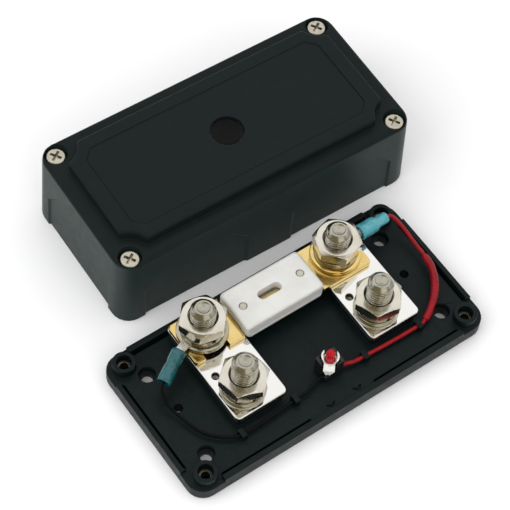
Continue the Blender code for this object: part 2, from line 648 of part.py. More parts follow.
def build_leads(black, red, shrink, resistor):
    left_end, left_start = Vector(SLEEVE_LEFT[1]), Vector(SLEEVE_LEFT[0])
    axis = (left_end - left_start).normalized()
    inside = left_start + axis * 8.0
    black_knots = (
        (LED_X - 1.9, ENTRY_Y, ENTRY_Z),
        (-4.0, -18.7, 8.5),
        (-9.5, -20.3, 8.2),
        (-15.4, -20.6, 8.0),
        (-27.0, -21.4, 8.0),
        (-40.0, -21.4, 8.0),
        (-46.3, -18.7, 8.0),
        (-52.0, -12.5, 8.0),
        (-55.0, -3.3, 8.4),
        (-56.6, 3.2, 10.0),
        (-56.6, 6.8, 13.0),
        tuple(left_end + axis * 0.8),
        tuple(inside),
    )
    wire("black_lead", black_knots, BLACK_LEAD_R, black)

    red_knots = (
        (LED_X + 1.9, ENTRY_Y, ENTRY_Z),
        (9.2, -18.8, 8.5),
        (12.4, -19.7, 8.2),
        (17.3, -20.0, 8.0),
        (30.3, -20.6, 8.0),
        (42.5, -20.7, 8.0),
        (45.8, -20.2, 8.3),
        (50.2, -17.9, 9.3),
        (52.2, -16.4, 9.7),
    )
    wire("red_lead_lamp_side", red_knots, LEAD_R, red)

    shrink_knots = (
        (46.2, -20.1, 8.35),
        (50.2, -17.9, 9.3),
        (55.0, -14.0, 10.0),
        (59.2, -8.8, 10.2),
        (61.8, -3.4, 10.2),
        (62.6, 1.8, 10.2),
    )
    hose("resistor_sleeve", shrink_knots, SHRINK_OUTER_R, SHRINK_INNER_R, shrink)
    wire("indicator_resistor", ((53.8, -15.1, 9.85), (57.2, -11.6, 10.15), (59.7, -7.8, 10.2)), RESISTOR_R, resistor)

    right_end, right_start = Vector(SLEEVE_RIGHT[1]), Vector(SLEEVE_RIGHT[0])
    axis = (right_end - right_start).normalized()
    inside = right_start + axis * 8.0
    tail_knots = (
        (61.0, -5.2, 10.2),
        (61.8, -3.4, 10.2),
        (62.6, 1.8, 10.2),
        (62.9, 9.0, 10.2),
        (62.8, 14.5, 11.3),
        (61.6, 19.8, 13.8),
        (59.6, 21.8, 15.5),
        tuple(right_end + axis * 0.3),
        tuple(inside),
    )
    wire("red_lead_terminal_side", tail_knots, LEAD_R, red)


def cover_outline(z, inset=0.0):
    """The cover's outside at this height, narrowing upwards by its mould draft, less an inset."""
    t = z / FLANGE_Z
    half_x = COVER_X / 2 - DRAFT_X * t - inset
    half_y = COVER_Y / 2 - DRAFT_Y * t - inset
    return rounded(-half_x, half_x, -half_y, half_y, max(COVER_CORNER - inset, 2.0), 6)


def plateau_outline(inset):
    """The raised top: a rectangle with each corner scooped out round a cover screw."""
    half_x, half_y, scoop = PLATEAU_X - inset, PLATEAU_Y - inset, PLATEAU_SCOOP + inset
    turn = 1.3
    start = math.acos(min(1.0, (SCREW_X - half_x + turn) / scoop))
    end = math.asin(min(1.0, (SCREW_Y - half_y + turn) / scoop))
    quarter = [(half_x, SCREW_Y - scoop - 1.2), (half_x - 0.35, SCREW_Y - scoop - 0.25)]
    for i in range(9):
        a = 1.5 * math.pi - (math.pi / 2 - start) - 0.06 - (start - end - 0.12) * i / 8
        quarter.append((SCREW_X + scoop * math.cos(a), SCREW_Y + scoop * math.sin(a)))
    quarter += [(SCREW_X - scoop - 0.25, half_y - 0.35), (SCREW_X - scoop - 1.2, half_y)]
    outline = list(quarter)
    outline += [(-x, y) for x, y in reversed(quarter)]
    outline += [(-x, -y) for x, y in quarter]
    outline += [(x, -y) for x, y in reversed(quarter)]
    return outline


def grown(outline, distance):
    """A copy of a convex outline with each side moved outwards by the same distance."""
    count = len(outline)
    area = sum(a[0] * b[1] - b[0] * a[1] for a, b in zip(outline, outline[1:] + outline[:1]))
    way = distance if area > 0 else -distance
    normals = []
    for (ax, ay), (bx, by) in zip(outline, outline[1:] + outline[:1]):
        length = math.hypot(bx - ax, by - ay)
        normals.append(((by - ay) / length, (ax - bx) / length))
    points = []
    for i in range(count):
        (ux, uy), (vx, vy) = normals[i - 1], normals[i]
        reach = way / (1 + ux * vx + uy * vy)
        points.append((outline[i][0] + reach * (ux + vx), outline[i][1] + reach * (uy + vy)))
    return points


def knock_out(name, along, sign, outline):
    """A cutter for one shallow side panel with sloping edges, its floor parallel to the drafted wall.

    The outline is a list of (run, height).
    """
    draft = (DRAFT_Y if along == "x" else DRAFT_X) / FLANGE_Z
    face = (COVER_Y if along == "x" else COVER_X) / 2
    vertices = []
    past = 6.0
    for outside in (False, True):
        for run, z in grown(outline, KNOCK_DEPTH + past) if outside else outline:
            out = sign * (face + past if outside else face - KNOCK_DEPTH - draft * z)
            vertices.append((run, out, z) if along == "x" else (out, run, z))
    n = len(outline)
    faces = [tuple(range(n)), tuple(reversed(range(n, 2 * n)))]
    for i in range(n):
        j = (i + 1) % n
        faces.append((i, j, n + j, n + i))
    return make(name, vertices, faces, None)


def build_cover(mat):
    """The cover with a stepped top, screw wells at its corners, knock-outs in its sides and a lamp hole."""
    sections = [(cover_outline(0.0), 0.0), (cover_outline(FLANGE_Z - EDGE_R), FLANGE_Z - EDGE_R)]
    for degrees in (30, 60, 90):
        a = math.radians(degrees)
        inset = EDGE_R * (1 - math.cos(a))
        z = FLANGE_Z - EDGE_R * (1 - math.sin(a))
        sections.append((cover_outline(z, inset), z))
    cover = loft("cover", sections, mat)

    top = []
    for inset, z in ((0.0, FLANGE_Z - 5.0), (0.35, PLATEAU_Z - 1.0), (0.65, PLATEAU_Z - 0.3), (1.35, PLATEAU_Z)):
        top.append((plateau_outline(inset), z))
    join(cover, loft("add_plateau", top))

    ceiling = FLANGE_Z - ROOF
    cavity = loft("cut_cavity", [(cover_outline(-2.0, WALL), -2.0), (cover_outline(ceiling, WALL), ceiling)])
    corners = [(sx * SCREW_X, sy * SCREW_Y) for sx in (-1, 1) for sy in (-1, 1)]
    for i, (x, y) in enumerate(corners):
        post = [(POST_R, POST_FOOT), (POST_R, SEAT_Z - 3.5), (POST_TOP_R, SEAT_Z - 2.0), (POST_TOP_R, ABOVE)]
        cut(cavity, turned(f"keep_post_{i}", x, y, post))
    upper = plateau_outline(WALL)
    join(cavity, prism("cut_upper", upper, SEAT_Z - 5.5, PLATEAU_Z - ROOF))
    cut(cover, cavity)

    for i, (x, y) in enumerate(corners):
        cut(cover, prism(f"cut_seat_{i}", circle(x, y, SEAT_R), SEAT_Z, ABOVE))
        cut(cover, prism(f"cut_post_{i}", circle(x, y, POST_HOLE_R, 20), -2.0, ABOVE))
    c = PANEL_CHAMFER
    panel = [
        (PANEL_X, c - PANEL_Y),
        (PANEL_X, PANEL_Y - c),
        (PANEL_X - c, PANEL_Y),
        (c - PANEL_X, PANEL_Y),
        (-PANEL_X, PANEL_Y - c),
        (-PANEL_X, c - PANEL_Y),
        (c - PANEL_X, -PANEL_Y),
        (PANEL_X - c, -PANEL_Y),
    ]
    cut(cover, prism("cut_panel", panel, PLATEAU_Z - PANEL_DEPTH, ABOVE))
    cut(cover, prism("cut_lamp_hole", circle(0, 0, CENTRE_HOLE_R, 32), SEAT_Z, ABOVE))
    for sy in (-1, 1):
        for sx in (-1, 1):
            shape = [(11.0, -2.0), (56.2, -2.0), (56.2, 17.5), (49.3, 24.4), (17.9, 24.4), (11.0, 17.5)]
            shape = [(sx * run, z) for run, z in shape]
            cut(cover, knock_out(f"cut_long_{sx}_{sy}", "x", sy, shape))
    for sx in (-1, 1):
        shape = [(-21.8, -2.0), (21.8, -2.0), (21.8, 17.1), (15.3, 25.3), (-15.3, 25.3), (-21.8, 17.1)]
        cut(cover, knock_out(f"cut_short_{sx}", "y", sx, shape))
    return cover


def build_cover_screws(mat):
    """Four pan-head screws, still loose in their wells, each with a cross recess."""
    z0, z1 = SCREW_HEAD_Z
    for side, sx in (("left", -1), ("right", 1)):
        for end, sy in (("front", -1), ("back", 1)):
            x, y = sx * SCREW_X, sy * SCREW_Y
            profile = [
                (1.3, SCREW_TIP),
                (SCREW_R, SCREW_TIP + 0.8),
                (SCREW_R, z0),
                (SCREW_HEAD_R, z0),
                (SCREW_HEAD_R, z0 + 1.1),
                (SCREW_HEAD_R - 0.6, z1 - 0.4),
                (SCREW_HEAD_R - 1.8, z1),
            ]
            screw = turned(f"cover_screw_{end}_{side}", x, y, profile, mat, 20)
            for tag, dx, dy in (("a", 2.0, 0.45), ("b", 0.45, 2.0)):
                slit = box_outline(x - dx, x + dx, y - dy, y + dy)
                cut(screw, prism(f"cut_cross_{end}_{side}_{tag}", slit, z1 - 1.4, z1 + 2))


def set_cover_down(before):
    """Hangs everything made since `before` on one empty, and puts that where the cover lies."""
    frame = bpy.data.objects.new("cover_frame", None)
    bpy.context.scene.collection.objects.link(frame)
    for obj in bpy.data.objects:
        if obj not in before and obj is not frame:
            obj.parent = frame
    frame.location = (COVER_AT[0] * MM, COVER_AT[1] * MM, 0.0)
    frame.rotation_euler = (0.0, 0.0, COVER_TURN)


def main():
    clear_scene()
    plastic = material("black_plastic", (0.045, 0.05, 0.052), 0.0, 0.5)
    nickel = material("nickel", (0.82, 0.80, 0.76), 1.0, 0.12)
    bar_metal = material("bar_nickel", (0.86, 0.85, 0.83), 1.0, 0.05)
    brass = material("brass_insert", (0.72, 0.62, 0.42), 1.0, 0.3)
    gold = material("gold_plate", (0.90, 0.76, 0.42), 1.0, 0.15)
    ceramic = material("white_ceramic", (0.85, 0.85, 0.83), 0.0, 0.3)
    rivet = material("rivet_metal", (0.7, 0.68, 0.64), 1.0, 0.3)
    socket = material("socket_black", (0.01, 0.01, 0.012), 0.0, 0.4)
    white = material("holder_white", (0.85, 0.85, 0.83), 0.0, 0.3)
    lens = material("lens_red", (0.80, 0.02, 0.02), 0.0, 0.08)
    terminal = material("tin", (0.78, 0.78, 0.76), 1.0, 0.25)
    teal = material("sleeve_teal", (0.02, 0.45, 0.52), 0.0, 0.25)
    blue = material("sleeve_blue", (0.25, 0.62, 0.72), 0.0, 0.2)
    black_wire = material("wire_black", (0.02, 0.02, 0.022), 0.0, 0.35)
    red_wire = material("wire_red", (0.60, 0.03, 0.04), 0.0, 0.35)
    shrink = material("shrink_red", (0.65, 0.08, 0.09), 0.0, 0.3)
    resistor = material("resistor_body", (0.75, 0.62, 0.42), 0.0, 0.5)
    screw = material("screw_steel", (0.75, 0.74, 0.72), 1.0, 0.25)

    build_base(plastic)
    build_inserts(brass)
    build_bars(bar_metal)
    build_studs(nickel, gold)
    build_element(gold)
    build_fuse_body(ceramic, rivet)
    build_lamp(socket, white, lens)
    build_terminal("left", STUD_X[0], SLEEVE_LEFT, terminal, teal)
    build_terminal("right", STUD_X[1], SLEEVE_RIGHT, terminal, blue)
    build_leads(black_wire, red_wire, shrink, resistor)

    before = set(bpy.data.objects)
    build_cover(plastic)
    build_cover_screws(screw)
    set_cover_down(before)


main()
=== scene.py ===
# %% [markdown]
# # A bolt-down strip fuse holder, taken apart for a look inside
#
# The object is a low black box for a heavy battery fuse. Its base carries two plated bus bars, four
# studs with their nuts and washers, a ceramic strip fuse and a small lamp that lights when the fuse
# has melted. Its cover has been lifted off and set down behind it.
# The solids and their joints already exist as a frame. This lesson dresses that frame: each piece gets
# finer geometry where it is needed, and a finish worked out for its own material.

import json
import math

import bmesh
import bpy
from mathutils import Matrix, Vector


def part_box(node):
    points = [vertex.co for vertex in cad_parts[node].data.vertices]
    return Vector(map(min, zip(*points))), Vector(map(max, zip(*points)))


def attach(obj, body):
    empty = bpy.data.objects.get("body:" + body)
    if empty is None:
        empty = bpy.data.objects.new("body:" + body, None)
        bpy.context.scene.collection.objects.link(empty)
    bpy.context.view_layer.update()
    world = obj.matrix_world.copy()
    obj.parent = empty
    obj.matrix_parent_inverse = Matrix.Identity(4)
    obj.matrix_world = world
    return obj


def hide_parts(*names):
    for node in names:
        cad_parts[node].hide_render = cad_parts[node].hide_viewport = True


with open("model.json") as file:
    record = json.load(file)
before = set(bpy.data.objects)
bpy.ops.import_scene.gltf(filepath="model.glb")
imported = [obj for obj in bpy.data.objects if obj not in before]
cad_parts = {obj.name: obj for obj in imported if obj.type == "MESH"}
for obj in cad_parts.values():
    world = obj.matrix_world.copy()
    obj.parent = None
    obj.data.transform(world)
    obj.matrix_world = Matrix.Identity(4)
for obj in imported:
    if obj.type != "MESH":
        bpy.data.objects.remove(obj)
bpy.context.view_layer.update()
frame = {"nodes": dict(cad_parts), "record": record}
nodes = frame["nodes"]
MM = 0.001
SIDES = ("left", "right")

# %% [markdown]
# ## Where the bodies are
# Every piece has to ride on the body that carries its solid. The record lists the solids of each body,
# so turning that list round gives the body of any solid, and no piece can be put on the wrong one.

# %% Look up the body of a solid
body_of = {}
for body, members in frame["record"]["behaviour"]["bodies"].items():
    for member in members:
        body_of[member] = body


def centre(node):
    """The middle of a solid's box, in metres."""
    low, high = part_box(node)
    return (Vector(low) + Vector(high)) / 2


def level(node, end):
    """The bottom (0) or top (1) height of a solid."""
    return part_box(node)[end][2]


# %% [markdown]
# ## The camera
# A long lens held well above the bench sees the base nearly as a plan, with a little of each side.
# The camera is placed by two angles, a small roll and its distance from the point it looks at.
# It comes first, so that everything made later can be looked at straight away.

# %% Place the camera
VIEW_TURN, VIEW_TILT, VIEW_ROLL = (math.radians(a) for a in (39.8, 58.0, 5.5))
VIEW_DISTANCE = 0.785
LOOK_AT = Vector((0.0117, 0.0433, 0.0))
LENS = 141.2

ahead = Vector(
    (
        math.sin(VIEW_TURN) * math.cos(VIEW_TILT),
        math.cos(VIEW_TURN) * math.cos(VIEW_TILT),
        -math.sin(VIEW_TILT),
    )
)
level_right = Vector((math.cos(VIEW_TURN), -math.sin(VIEW_TURN), 0.0))
level_up = level_right.cross(ahead)
right = level_right * math.cos(VIEW_ROLL) + level_up * math.sin(VIEW_ROLL)
up = right.cross(ahead)

camera_data = bpy.data.cameras.new("bench_camera")
camera_data.lens = LENS
camera_data.sensor_width = 36.0
camera_data.clip_start = 0.05
camera_data.clip_end = 20.0
camera = bpy.data.objects.new("bench_camera", camera_data)
bpy.context.scene.collection.objects.link(camera)
turn = Matrix((right, up, -ahead)).transposed().to_4x4()
camera.matrix_world = Matrix.Translation(LOOK_AT - ahead * VIEW_DISTANCE) @ turn
bpy.context.scene.camera = camera
print("camera height:", round(camera.location.z, 3), "m")

# %% [markdown]
# ## Light, air and bench
# Plated metal shows whatever stands round it, so a pale room matters more than a strong lamp. The world
# is white overhead and dark at the horizon, which draws the dark lines that make metal look like
# metal. In reflections only, its half on the camera's own side falls to a dim olive, so flanks that face
# the camera stay darker than flat tops. A lamp from the left and a weaker one in front round off the
# edges. The left one lights the plastic but is kept out of reflections, where it would glare.

# %% Hang the sky
HORIZON_GREY = (0.22, 0.22, 0.22, 1.0)
OVERHEAD_WHITE = (1.0, 1.0, 1.0, 1.0)
WHITE_FROM = 0.50
SKY_STRENGTH = 0.98

scene = bpy.context.scene
scene.view_settings.view_transform = "Standard"
world = bpy.data.worlds.new("pale_room")
scene.world = world
world.use_nodes = True
sky_nodes = world.node_tree.nodes
sky_links = world.node_tree.links
sky = sky_nodes["Background"]
sky.inputs["Strength"].default_value = SKY_STRENGTH
direction = sky_nodes.new("ShaderNodeTexCoord")
split = sky_nodes.new("ShaderNodeSeparateXYZ")
ramp = sky_nodes.new("ShaderNodeValToRGB")
ramp.color_ramp.elements[0].position = 0.0
ramp.color_ramp.elements[0].color = HORIZON_GREY
ramp.color_ramp.elements[1].position = WHITE_FROM
ramp.color_ramp.elements[1].color = OVERHEAD_WHITE
sky_links.new(direction.outputs["Generated"], split.inputs[0])
sky_links.new(split.outputs["Z"], ramp.inputs["Fac"])
print("sky strength:", SKY_STRENGTH)

# %% Dim the near half of the sky, in reflections only
DIM_OLIVE = (0.26, 0.225, 0.125, 1.0)
FULLY_DIM, NOT_DIM = -0.45, -0.05

heading = sky_nodes.new("ShaderNodeVectorMath")
heading.operation = "DOT_PRODUCT"
heading.inputs[1].default_value = (math.sin(VIEW_TURN), math.cos(VIEW_TURN), 0.0)
behind = sky_nodes.new("ShaderNodeMapRange")
behind.interpolation_type = "SMOOTHSTEP"
behind.inputs["From Min"].default_value = FULLY_DIM
behind.inputs["From Max"].default_value = NOT_DIM
ray = sky_nodes.new("ShaderNodeLightPath")
matte = sky_nodes.new("ShaderNodeMath")
matte.operation = "SUBTRACT"
matte.inputs[0].default_value = 1.0
share = sky_nodes.new("ShaderNodeMath")
share.operation = "MAXIMUM"
halves = sky_nodes.new("ShaderNodeMix")
halves.data_type = "RGBA"
halves.inputs[6].default_value = DIM_OLIVE
sky_links.new(direction.outputs["Generated"], heading.inputs[0])
sky_links.new(heading.outputs["Value"], behind.inputs["Value"])
sky_links.new(ray.outputs["Is Glossy Ray"], matte.inputs[1])
sky_links.new(matte.outputs[0], share.inputs[0])
sky_links.new(behind.outputs["Result"], share.inputs[1])
sky_links.new(share.outputs[0], halves.inputs[0])
sky_links.new(ramp.outputs["Color"], halves.inputs[7])
sky_links.new(halves.outputs[2], sky.inputs["Color"])
print("sky nodes:", len(sky_nodes))

# %% Set up the lamps
def softbox(name, place, aim, size, power, mirrored):
    """A square lamp of this size in metres, shining from one point to another; mirrored shows it in metal."""
    lamp_data = bpy.data.lights.new(name, "AREA")
    lamp_data.size = size
    lamp_data.energy = power
    lamp = bpy.data.objects.new(name, lamp_data)
    scene.collection.objects.link(lamp)
    lamp.location = place
    lamp.rotation_euler = (Vector(aim) - Vector(place)).to_track_quat("-Z", "Y").to_euler()
    lamp.visible_glossy = mirrored


LAMP_AIM = (0.0, 0.04, 0.0)
LAMP_SIZE = 0.90
softbox("left_key", (-0.80, 0.10, 0.75), LAMP_AIM, LAMP_SIZE, 4.2, False)
softbox("front_fill", (-0.10, -0.90, 0.70), LAMP_AIM, LAMP_SIZE, 1.8, True)
print("lamps:", len(bpy.data.lights))

# %% [markdown]
# ## Finishes
# Every finish is a Principled shader with small procedural changes on top: colour that wanders a
# little, polish that is not even, and a grain too fine to model. One helper makes them all, so the
# recipes below stay short. Coordinates are the object's own, in metres, so a noise scale of 3000
# means features a third of a millimetre wide.

# %% A helper that mixes a finish
FINISHES = {}


def noise_node(tree, scale, detail, stretch):
    """A noise in object coordinates, squeezed along an axis where stretch differs from 1."""
    place = tree.nodes.new("ShaderNodeTexCoord")
    squeeze = tree.nodes.new("ShaderNodeMapping")
    squeeze.inputs["Scale"].default_value = stretch
    noise = tree.nodes.new("ShaderNodeTexNoise")
    noise.inputs["Scale"].default_value = scale
    noise.inputs["Detail"].default_value = detail
    tree.links.new(place.outputs["Object"], squeeze.inputs["Vector"])
    tree.links.new(squeeze.outputs["Vector"], noise.inputs["Vector"])
    return noise


def finish(
    name, colour, metal=0.0, rough=0.5, mottle=None, polish=None, grain=None, stretch=(1, 1, 1), **extra
):
    """A Principled finish.

    mottle is (scale, second colour), polish is (scale, lowest, highest roughness) and grain is
    (scale, depth in metres). Any other keyword names a socket of the shader, with _ for each space.
    """
    mat = bpy.data.materials.new(name)
    mat.use_nodes = True
    tree = mat.node_tree
    shader = tree.nodes["Principled BSDF"]
    shader.inputs["Base Color"].default_value = (*colour, 1.0)
    shader.inputs["Metallic"].default_value = metal
    shader.inputs["Roughness"].default_value = rough
    for socket, value in extra.items():
        shader.inputs[socket.replace("_", " ")].default_value = value
    if mottle:
        scale, second = mottle
        noise = noise_node(tree, scale, 3.0, stretch)
        colours = tree.nodes.new("ShaderNodeValToRGB")
        colours.color_ramp.elements[0].position = 0.35
        colours.color_ramp.elements[0].color = (*colour, 1.0)
        colours.color_ramp.elements[1].position = 0.70
        colours.color_ramp.elements[1].color = (*second, 1.0)
        tree.links.new(noise.outputs["Fac"], colours.inputs["Fac"])
        tree.links.new(colours.outputs["Color"], shader.inputs["Base Color"])
    if polish:
        scale, lowest, highest = polish
        noise = noise_node(tree, scale, 4.0, stretch)
        spread = tree.nodes.new("ShaderNodeMapRange")
        spread.inputs["From Min"].default_value = 0.3
        spread.inputs["From Max"].default_value = 0.7
        spread.inputs["To Min"].default_value = lowest
        spread.inputs["To Max"].default_value = highest
        tree.links.new(noise.outputs["Fac"], spread.inputs["Value"])
        tree.links.new(spread.outputs["Result"], shader.inputs["Roughness"])
    if grain:
        scale, depth = grain
        noise = noise_node(tree, scale, 2.0, stretch)
        bump = tree.nodes.new("ShaderNodeBump")
        bump.inputs["Strength"].default_value = 1.0
        bump.inputs["Distance"].default_value = depth
        tree.links.new(noise.outputs["Fac"], bump.inputs["Height"])
        tree.links.new(bump.outputs["Normal"], shader.inputs["Normal"])
    FINISHES[name] = mat
    return mat


# %% [markdown]
# ### The plastics
# The case is a black moulding with a spark-eroded, satin skin, so it reflects little and evenly. The
# lamp's socket is a smoother black and its collar a glossy white. The cover's outer sides get painted
# light: a paler colour than its top, standing in for bounce light from the floor. It is mixed in by how
# upright the surface is, and only below the top's step.

# %% Mix the plastics
finish(
    "case_plastic",
    (0.0022, 0.0062, 0.0064),
    rough=0.5,
    mottle=(260.0, (0.0038, 0.0082, 0.0084)),
    polish=(500.0, 0.36, 0.50),
    grain=(1900.0, 0.000022),
    Specular_IOR_Level=0.17,
)
cover_plastic = finish(
    "cover_plastic",
    (0.0064, 0.0104, 0.0110),
    rough=0.45,
    mottle=(160.0, (0.0074, 0.0116, 0.0122)),
    polish=(300.0, 0.36, 0.44),
    grain=(1900.0, 0.000004),
    Specular_IOR_Level=0.11,
)
finish(
    "socket_black",
    (0.006, 0.006, 0.007),
    mottle=(300.0, (0.010, 0.010, 0.011)),
    polish=(700.0, 0.28, 0.4),
)
finish(
    "holder_white",
    (0.82, 0.81, 0.77),
    mottle=(600.0, (0.74, 0.73, 0.70)),
    polish=(600.0, 0.22, 0.34),
    Subsurface_Weight=0.1,
    Subsurface_Scale=0.0008,
)

# %% Paint bounce light onto the cover's sides
# The paler side colour is painted bounce light, laid on upright faces below the top's step.
PAINTED_SIDE_LIGHT = (0.0150, 0.0262, 0.0248, 1.0)
LYING, STANDING = 0.75, 0.25
STEP_CLEAR, STEP_FULL = 0.0368, 0.0355

cover_tree = cover_plastic.node_tree
cover_shader = cover_tree.nodes["Principled BSDF"]
top_tone = cover_shader.inputs["Base Color"].links[0].from_socket
facing = cover_tree.nodes.new("ShaderNodeTexCoord")
facing_split = cover_tree.nodes.new("ShaderNodeSeparateXYZ")
upright = cover_tree.nodes.new("ShaderNodeMapRange")
upright.inputs["From Min"].default_value = LYING
upright.inputs["From Max"].default_value = STANDING
height = cover_tree.nodes.new("ShaderNodeSeparateXYZ")
below = cover_tree.nodes.new("ShaderNodeMapRange")
below.inputs["From Min"].default_value = STEP_CLEAR
below.inputs["From Max"].default_value = STEP_FULL
outside = cover_tree.nodes.new("ShaderNodeMath")
outside.operation = "MULTIPLY"
side_light_mix = cover_tree.nodes.new("ShaderNodeMix")
side_light_mix.data_type = "RGBA"
side_light_mix.inputs[7].default_value = PAINTED_SIDE_LIGHT
cover_tree.links.new(facing.outputs["Normal"], facing_split.inputs[0])
cover_tree.links.new(facing_split.outputs["Z"], upright.inputs["Value"])
cover_tree.links.new(facing.outputs["Object"], height.inputs[0])
cover_tree.links.new(height.outputs["Z"], below.inputs["Value"])
cover_tree.links.new(upright.outputs["Result"], outside.inputs[0])
cover_tree.links.new(below.outputs["Result"], outside.inputs[1])
cover_tree.links.new(outside.outputs[0], side_light_mix.inputs[0])
cover_tree.links.new(top_tone, side_light_mix.inputs[6])
cover_tree.links.new(side_light_mix.outputs[2], cover_shader.inputs["Base Color"])
print("cover nodes:", len(cover_tree.nodes))

# %% [markdown]
# ### The metals
# The bars are polished nickel, nearly a mirror. The nuts, washers and studs are barrel-plated, so
# they are a touch warmer and softer. The washers get a darker, more olive copy of the same plating, as
# painted shade and reflection for their place under the nuts. The fuse link is gold-coloured plate.

# %% Mix the metals
finish(
    "bar_nickel",
    (0.93, 0.925, 0.90),
    metal=1.0,
    mottle=(120.0, (0.90, 0.89, 0.85)),
    polish=(260.0, 0.05, 0.13),
    grain=(1400.0, 0.0000010),
)
finish(
    "stud_nickel",
    (0.78, 0.745, 0.67),
    metal=1.0,
    mottle=(150.0, (0.70, 0.66, 0.55)),
    polish=(180.0, 0.14, 0.20),
)
# A darker, olive copy of the nut plating, as painted shade and reflection on washers under the nuts.
finish(
    "washer_nickel_shaded",
    (0.50, 0.465, 0.36),
    metal=1.0,
    mottle=(150.0, (0.42, 0.385, 0.28)),
    polish=(180.0, 0.14, 0.22),
)
finish(
    "stud_satin",
    (0.50, 0.475, 0.40),
    metal=1.0,
    mottle=(420.0, (0.42, 0.40, 0.335)),
    polish=(700.0, 0.18, 0.28),
    grain=(2200.0, 0.0000030),
)
finish(
    "gold_plate",
    (0.86, 0.66, 0.28),
    metal=1.0,
    mottle=(200.0, (0.78, 0.56, 0.20)),
    polish=(220.0, 0.10, 0.18),
)
# Darkened well below its plain metal tone, as painted shade for the deep bores and holes it sits in.
finish(
    "insert_brass",
    (0.22, 0.205, 0.175),
    metal=1.0,
    mottle=(900.0, (0.14, 0.13, 0.11)),
    polish=(900.0, 0.3, 0.45),
)
finish(
    "rivet_metal",
    (0.60, 0.58, 0.50),
    metal=0.3,
    mottle=(900.0, (0.50, 0.47, 0.39)),
    polish=(900.0, 0.25, 0.45),
)
finish(
    "terminal_tin",
    (0.80, 0.80, 0.78),
    metal=1.0,
    mottle=(700.0, (0.70, 0.69, 0.66)),
    polish=(900.0, 0.2, 0.35),
)
finish(
    "screw_steel",
    (0.62, 0.58, 0.48),
    metal=1.0,
    mottle=(600.0, (0.48, 0.45, 0.37)),
    polish=(900.0, 0.18, 0.32),
    grain=(2600.0, 0.0000030),
)

# %% [markdown]
# ### Ceramic, lamp, sleeves and leads
# Glazed ceramic lets a little light in, so it gets some subsurface. The sleeves are clear tinted
# tubing, and the crimp shows through them. The leads have an even satin jacket.

# %% Mix the rest
finish(
    "ceramic",
    (0.72, 0.715, 0.69),
    mottle=(180.0, (0.67, 0.66, 0.62)),
    polish=(400.0, 0.28, 0.42),
    grain=(1800.0, 0.000006),
    Subsurface_Weight=0.12,
    Subsurface_Scale=0.001,
)
finish("lens_red", (0.46, 0.004, 0.010), mottle=(800.0, (0.36, 0.003, 0.008)), polish=(500.0, 0.12, 0.2),
       Specular_IOR_Level=0.3)
finish("sleeve_teal", (0.008, 0.17, 0.19), mottle=(350.0, (0.004, 0.09, 0.10)), polish=(500.0, 0.10, 0.2),
       Transmission_Weight=0.4, Coat_Weight=0.5)
finish("sleeve_blue", (0.17, 0.70, 0.80), mottle=(350.0, (0.09, 0.52, 0.62)), polish=(500.0, 0.08, 0.18),
       Transmission_Weight=0.5, Coat_Weight=0.6)
finish("lead_black", (0.0015, 0.0016, 0.0018), mottle=(500.0, (0.0025, 0.0025, 0.003)),
       polish=(900.0, 0.3, 0.4), Specular_IOR_Level=0.12)
finish("lead_red", (0.31, 0.005, 0.010), mottle=(500.0, (0.23, 0.004, 0.008)), polish=(900.0, 0.25, 0.4),
       Specular_IOR_Level=0.25)
finish("shrink_red", (0.29, 0.005, 0.011), mottle=(260.0, (0.21, 0.004, 0.009)), polish=(500.0, 0.2, 0.35),
       Specular_IOR_Level=0.25)
finish("resistor_body", (0.60, 0.45, 0.26), mottle=(700.0, (0.5, 0.36, 0.2)), polish=(700.0, 0.3, 0.5))
print("finishes:", len(FINISHES))

# %% [markdown]
# ## Helpers for shapes
# Three ways of making a piece return again and again. A skin joins a stack of rings, which suits
# anything turned or threaded. A softened solid is a clean copy of a CAD solid with its sharp edges
# broken, because no moulded or pressed edge is perfectly sharp. A grown piece comes out of a Geometry
# Nodes tree, which suits what follows a path or repeats.

# %% Place, finish and shade a piece
SHARP = math.radians(32)


def settle(obj, stands_for, slot, body=None, finish_name=None):
    """Gives a piece its finish and its body, and hides the solids it stands for."""
    if not obj.data.materials:
        obj.data.materials.append(FINISHES[finish_name or slot])
    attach(obj, body or body_of[stands_for[0]])
    if stands_for:
        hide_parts(*stands_for)
    return obj


def object_from(name, mesh, smooth_below=SHARP):
    obj = bpy.data.objects.new(name, mesh)
    scene.collection.objects.link(obj)
    for face in mesh.polygons:
        face.use_smooth = True
    mesh.set_sharp_from_angle(angle=smooth_below)
    return obj


def skin(name, rings, closed=False, capped=True):
    """A mesh through rings of equal point counts. closed joins the last ring to the first."""
    count = len(rings[0])
    verts = [point for ring in rings for point in ring]
    faces = []
    for i in range(len(rings) if closed else len(rings) - 1):
        here, there = i * count, ((i + 1) % len(rings)) * count
        for k in range(count):
            m = (k + 1) % count
            faces.append((here + k, here + m, there + m, there + k))
    if capped and not closed:
        for ring_index in (0, len(rings) - 1):
            hub = len(verts)
            verts.append(sum((Vector(p) for p in rings[ring_index]), Vector()) / count)
            start = ring_index * count
            faces += [(hub, start + k, start + (k + 1) % count) for k in range(count)]
    mesh = bpy.data.meshes.new(name)
    mesh.from_pydata(verts, [], faces)
    work = bmesh.new()
    work.from_mesh(mesh)
    bmesh.ops.recalc_face_normals(work, faces=work.faces)
    work.to_mesh(mesh)
    work.free()
    return object_from(name, mesh)


def polar(x, y, z, radius, count):
    """One level ring; radius is a number or a function of the angle."""
    ring = []
    for i in range(count):
        a = 2 * math.pi * i / count
        r = radius(a) if callable(radius) else radius
        ring.append((x + r * math.cos(a), y + r * math.sin(a), z))
    return ring


# %% Soften a copy of a solid
STRAY_NORMAL = 0.6


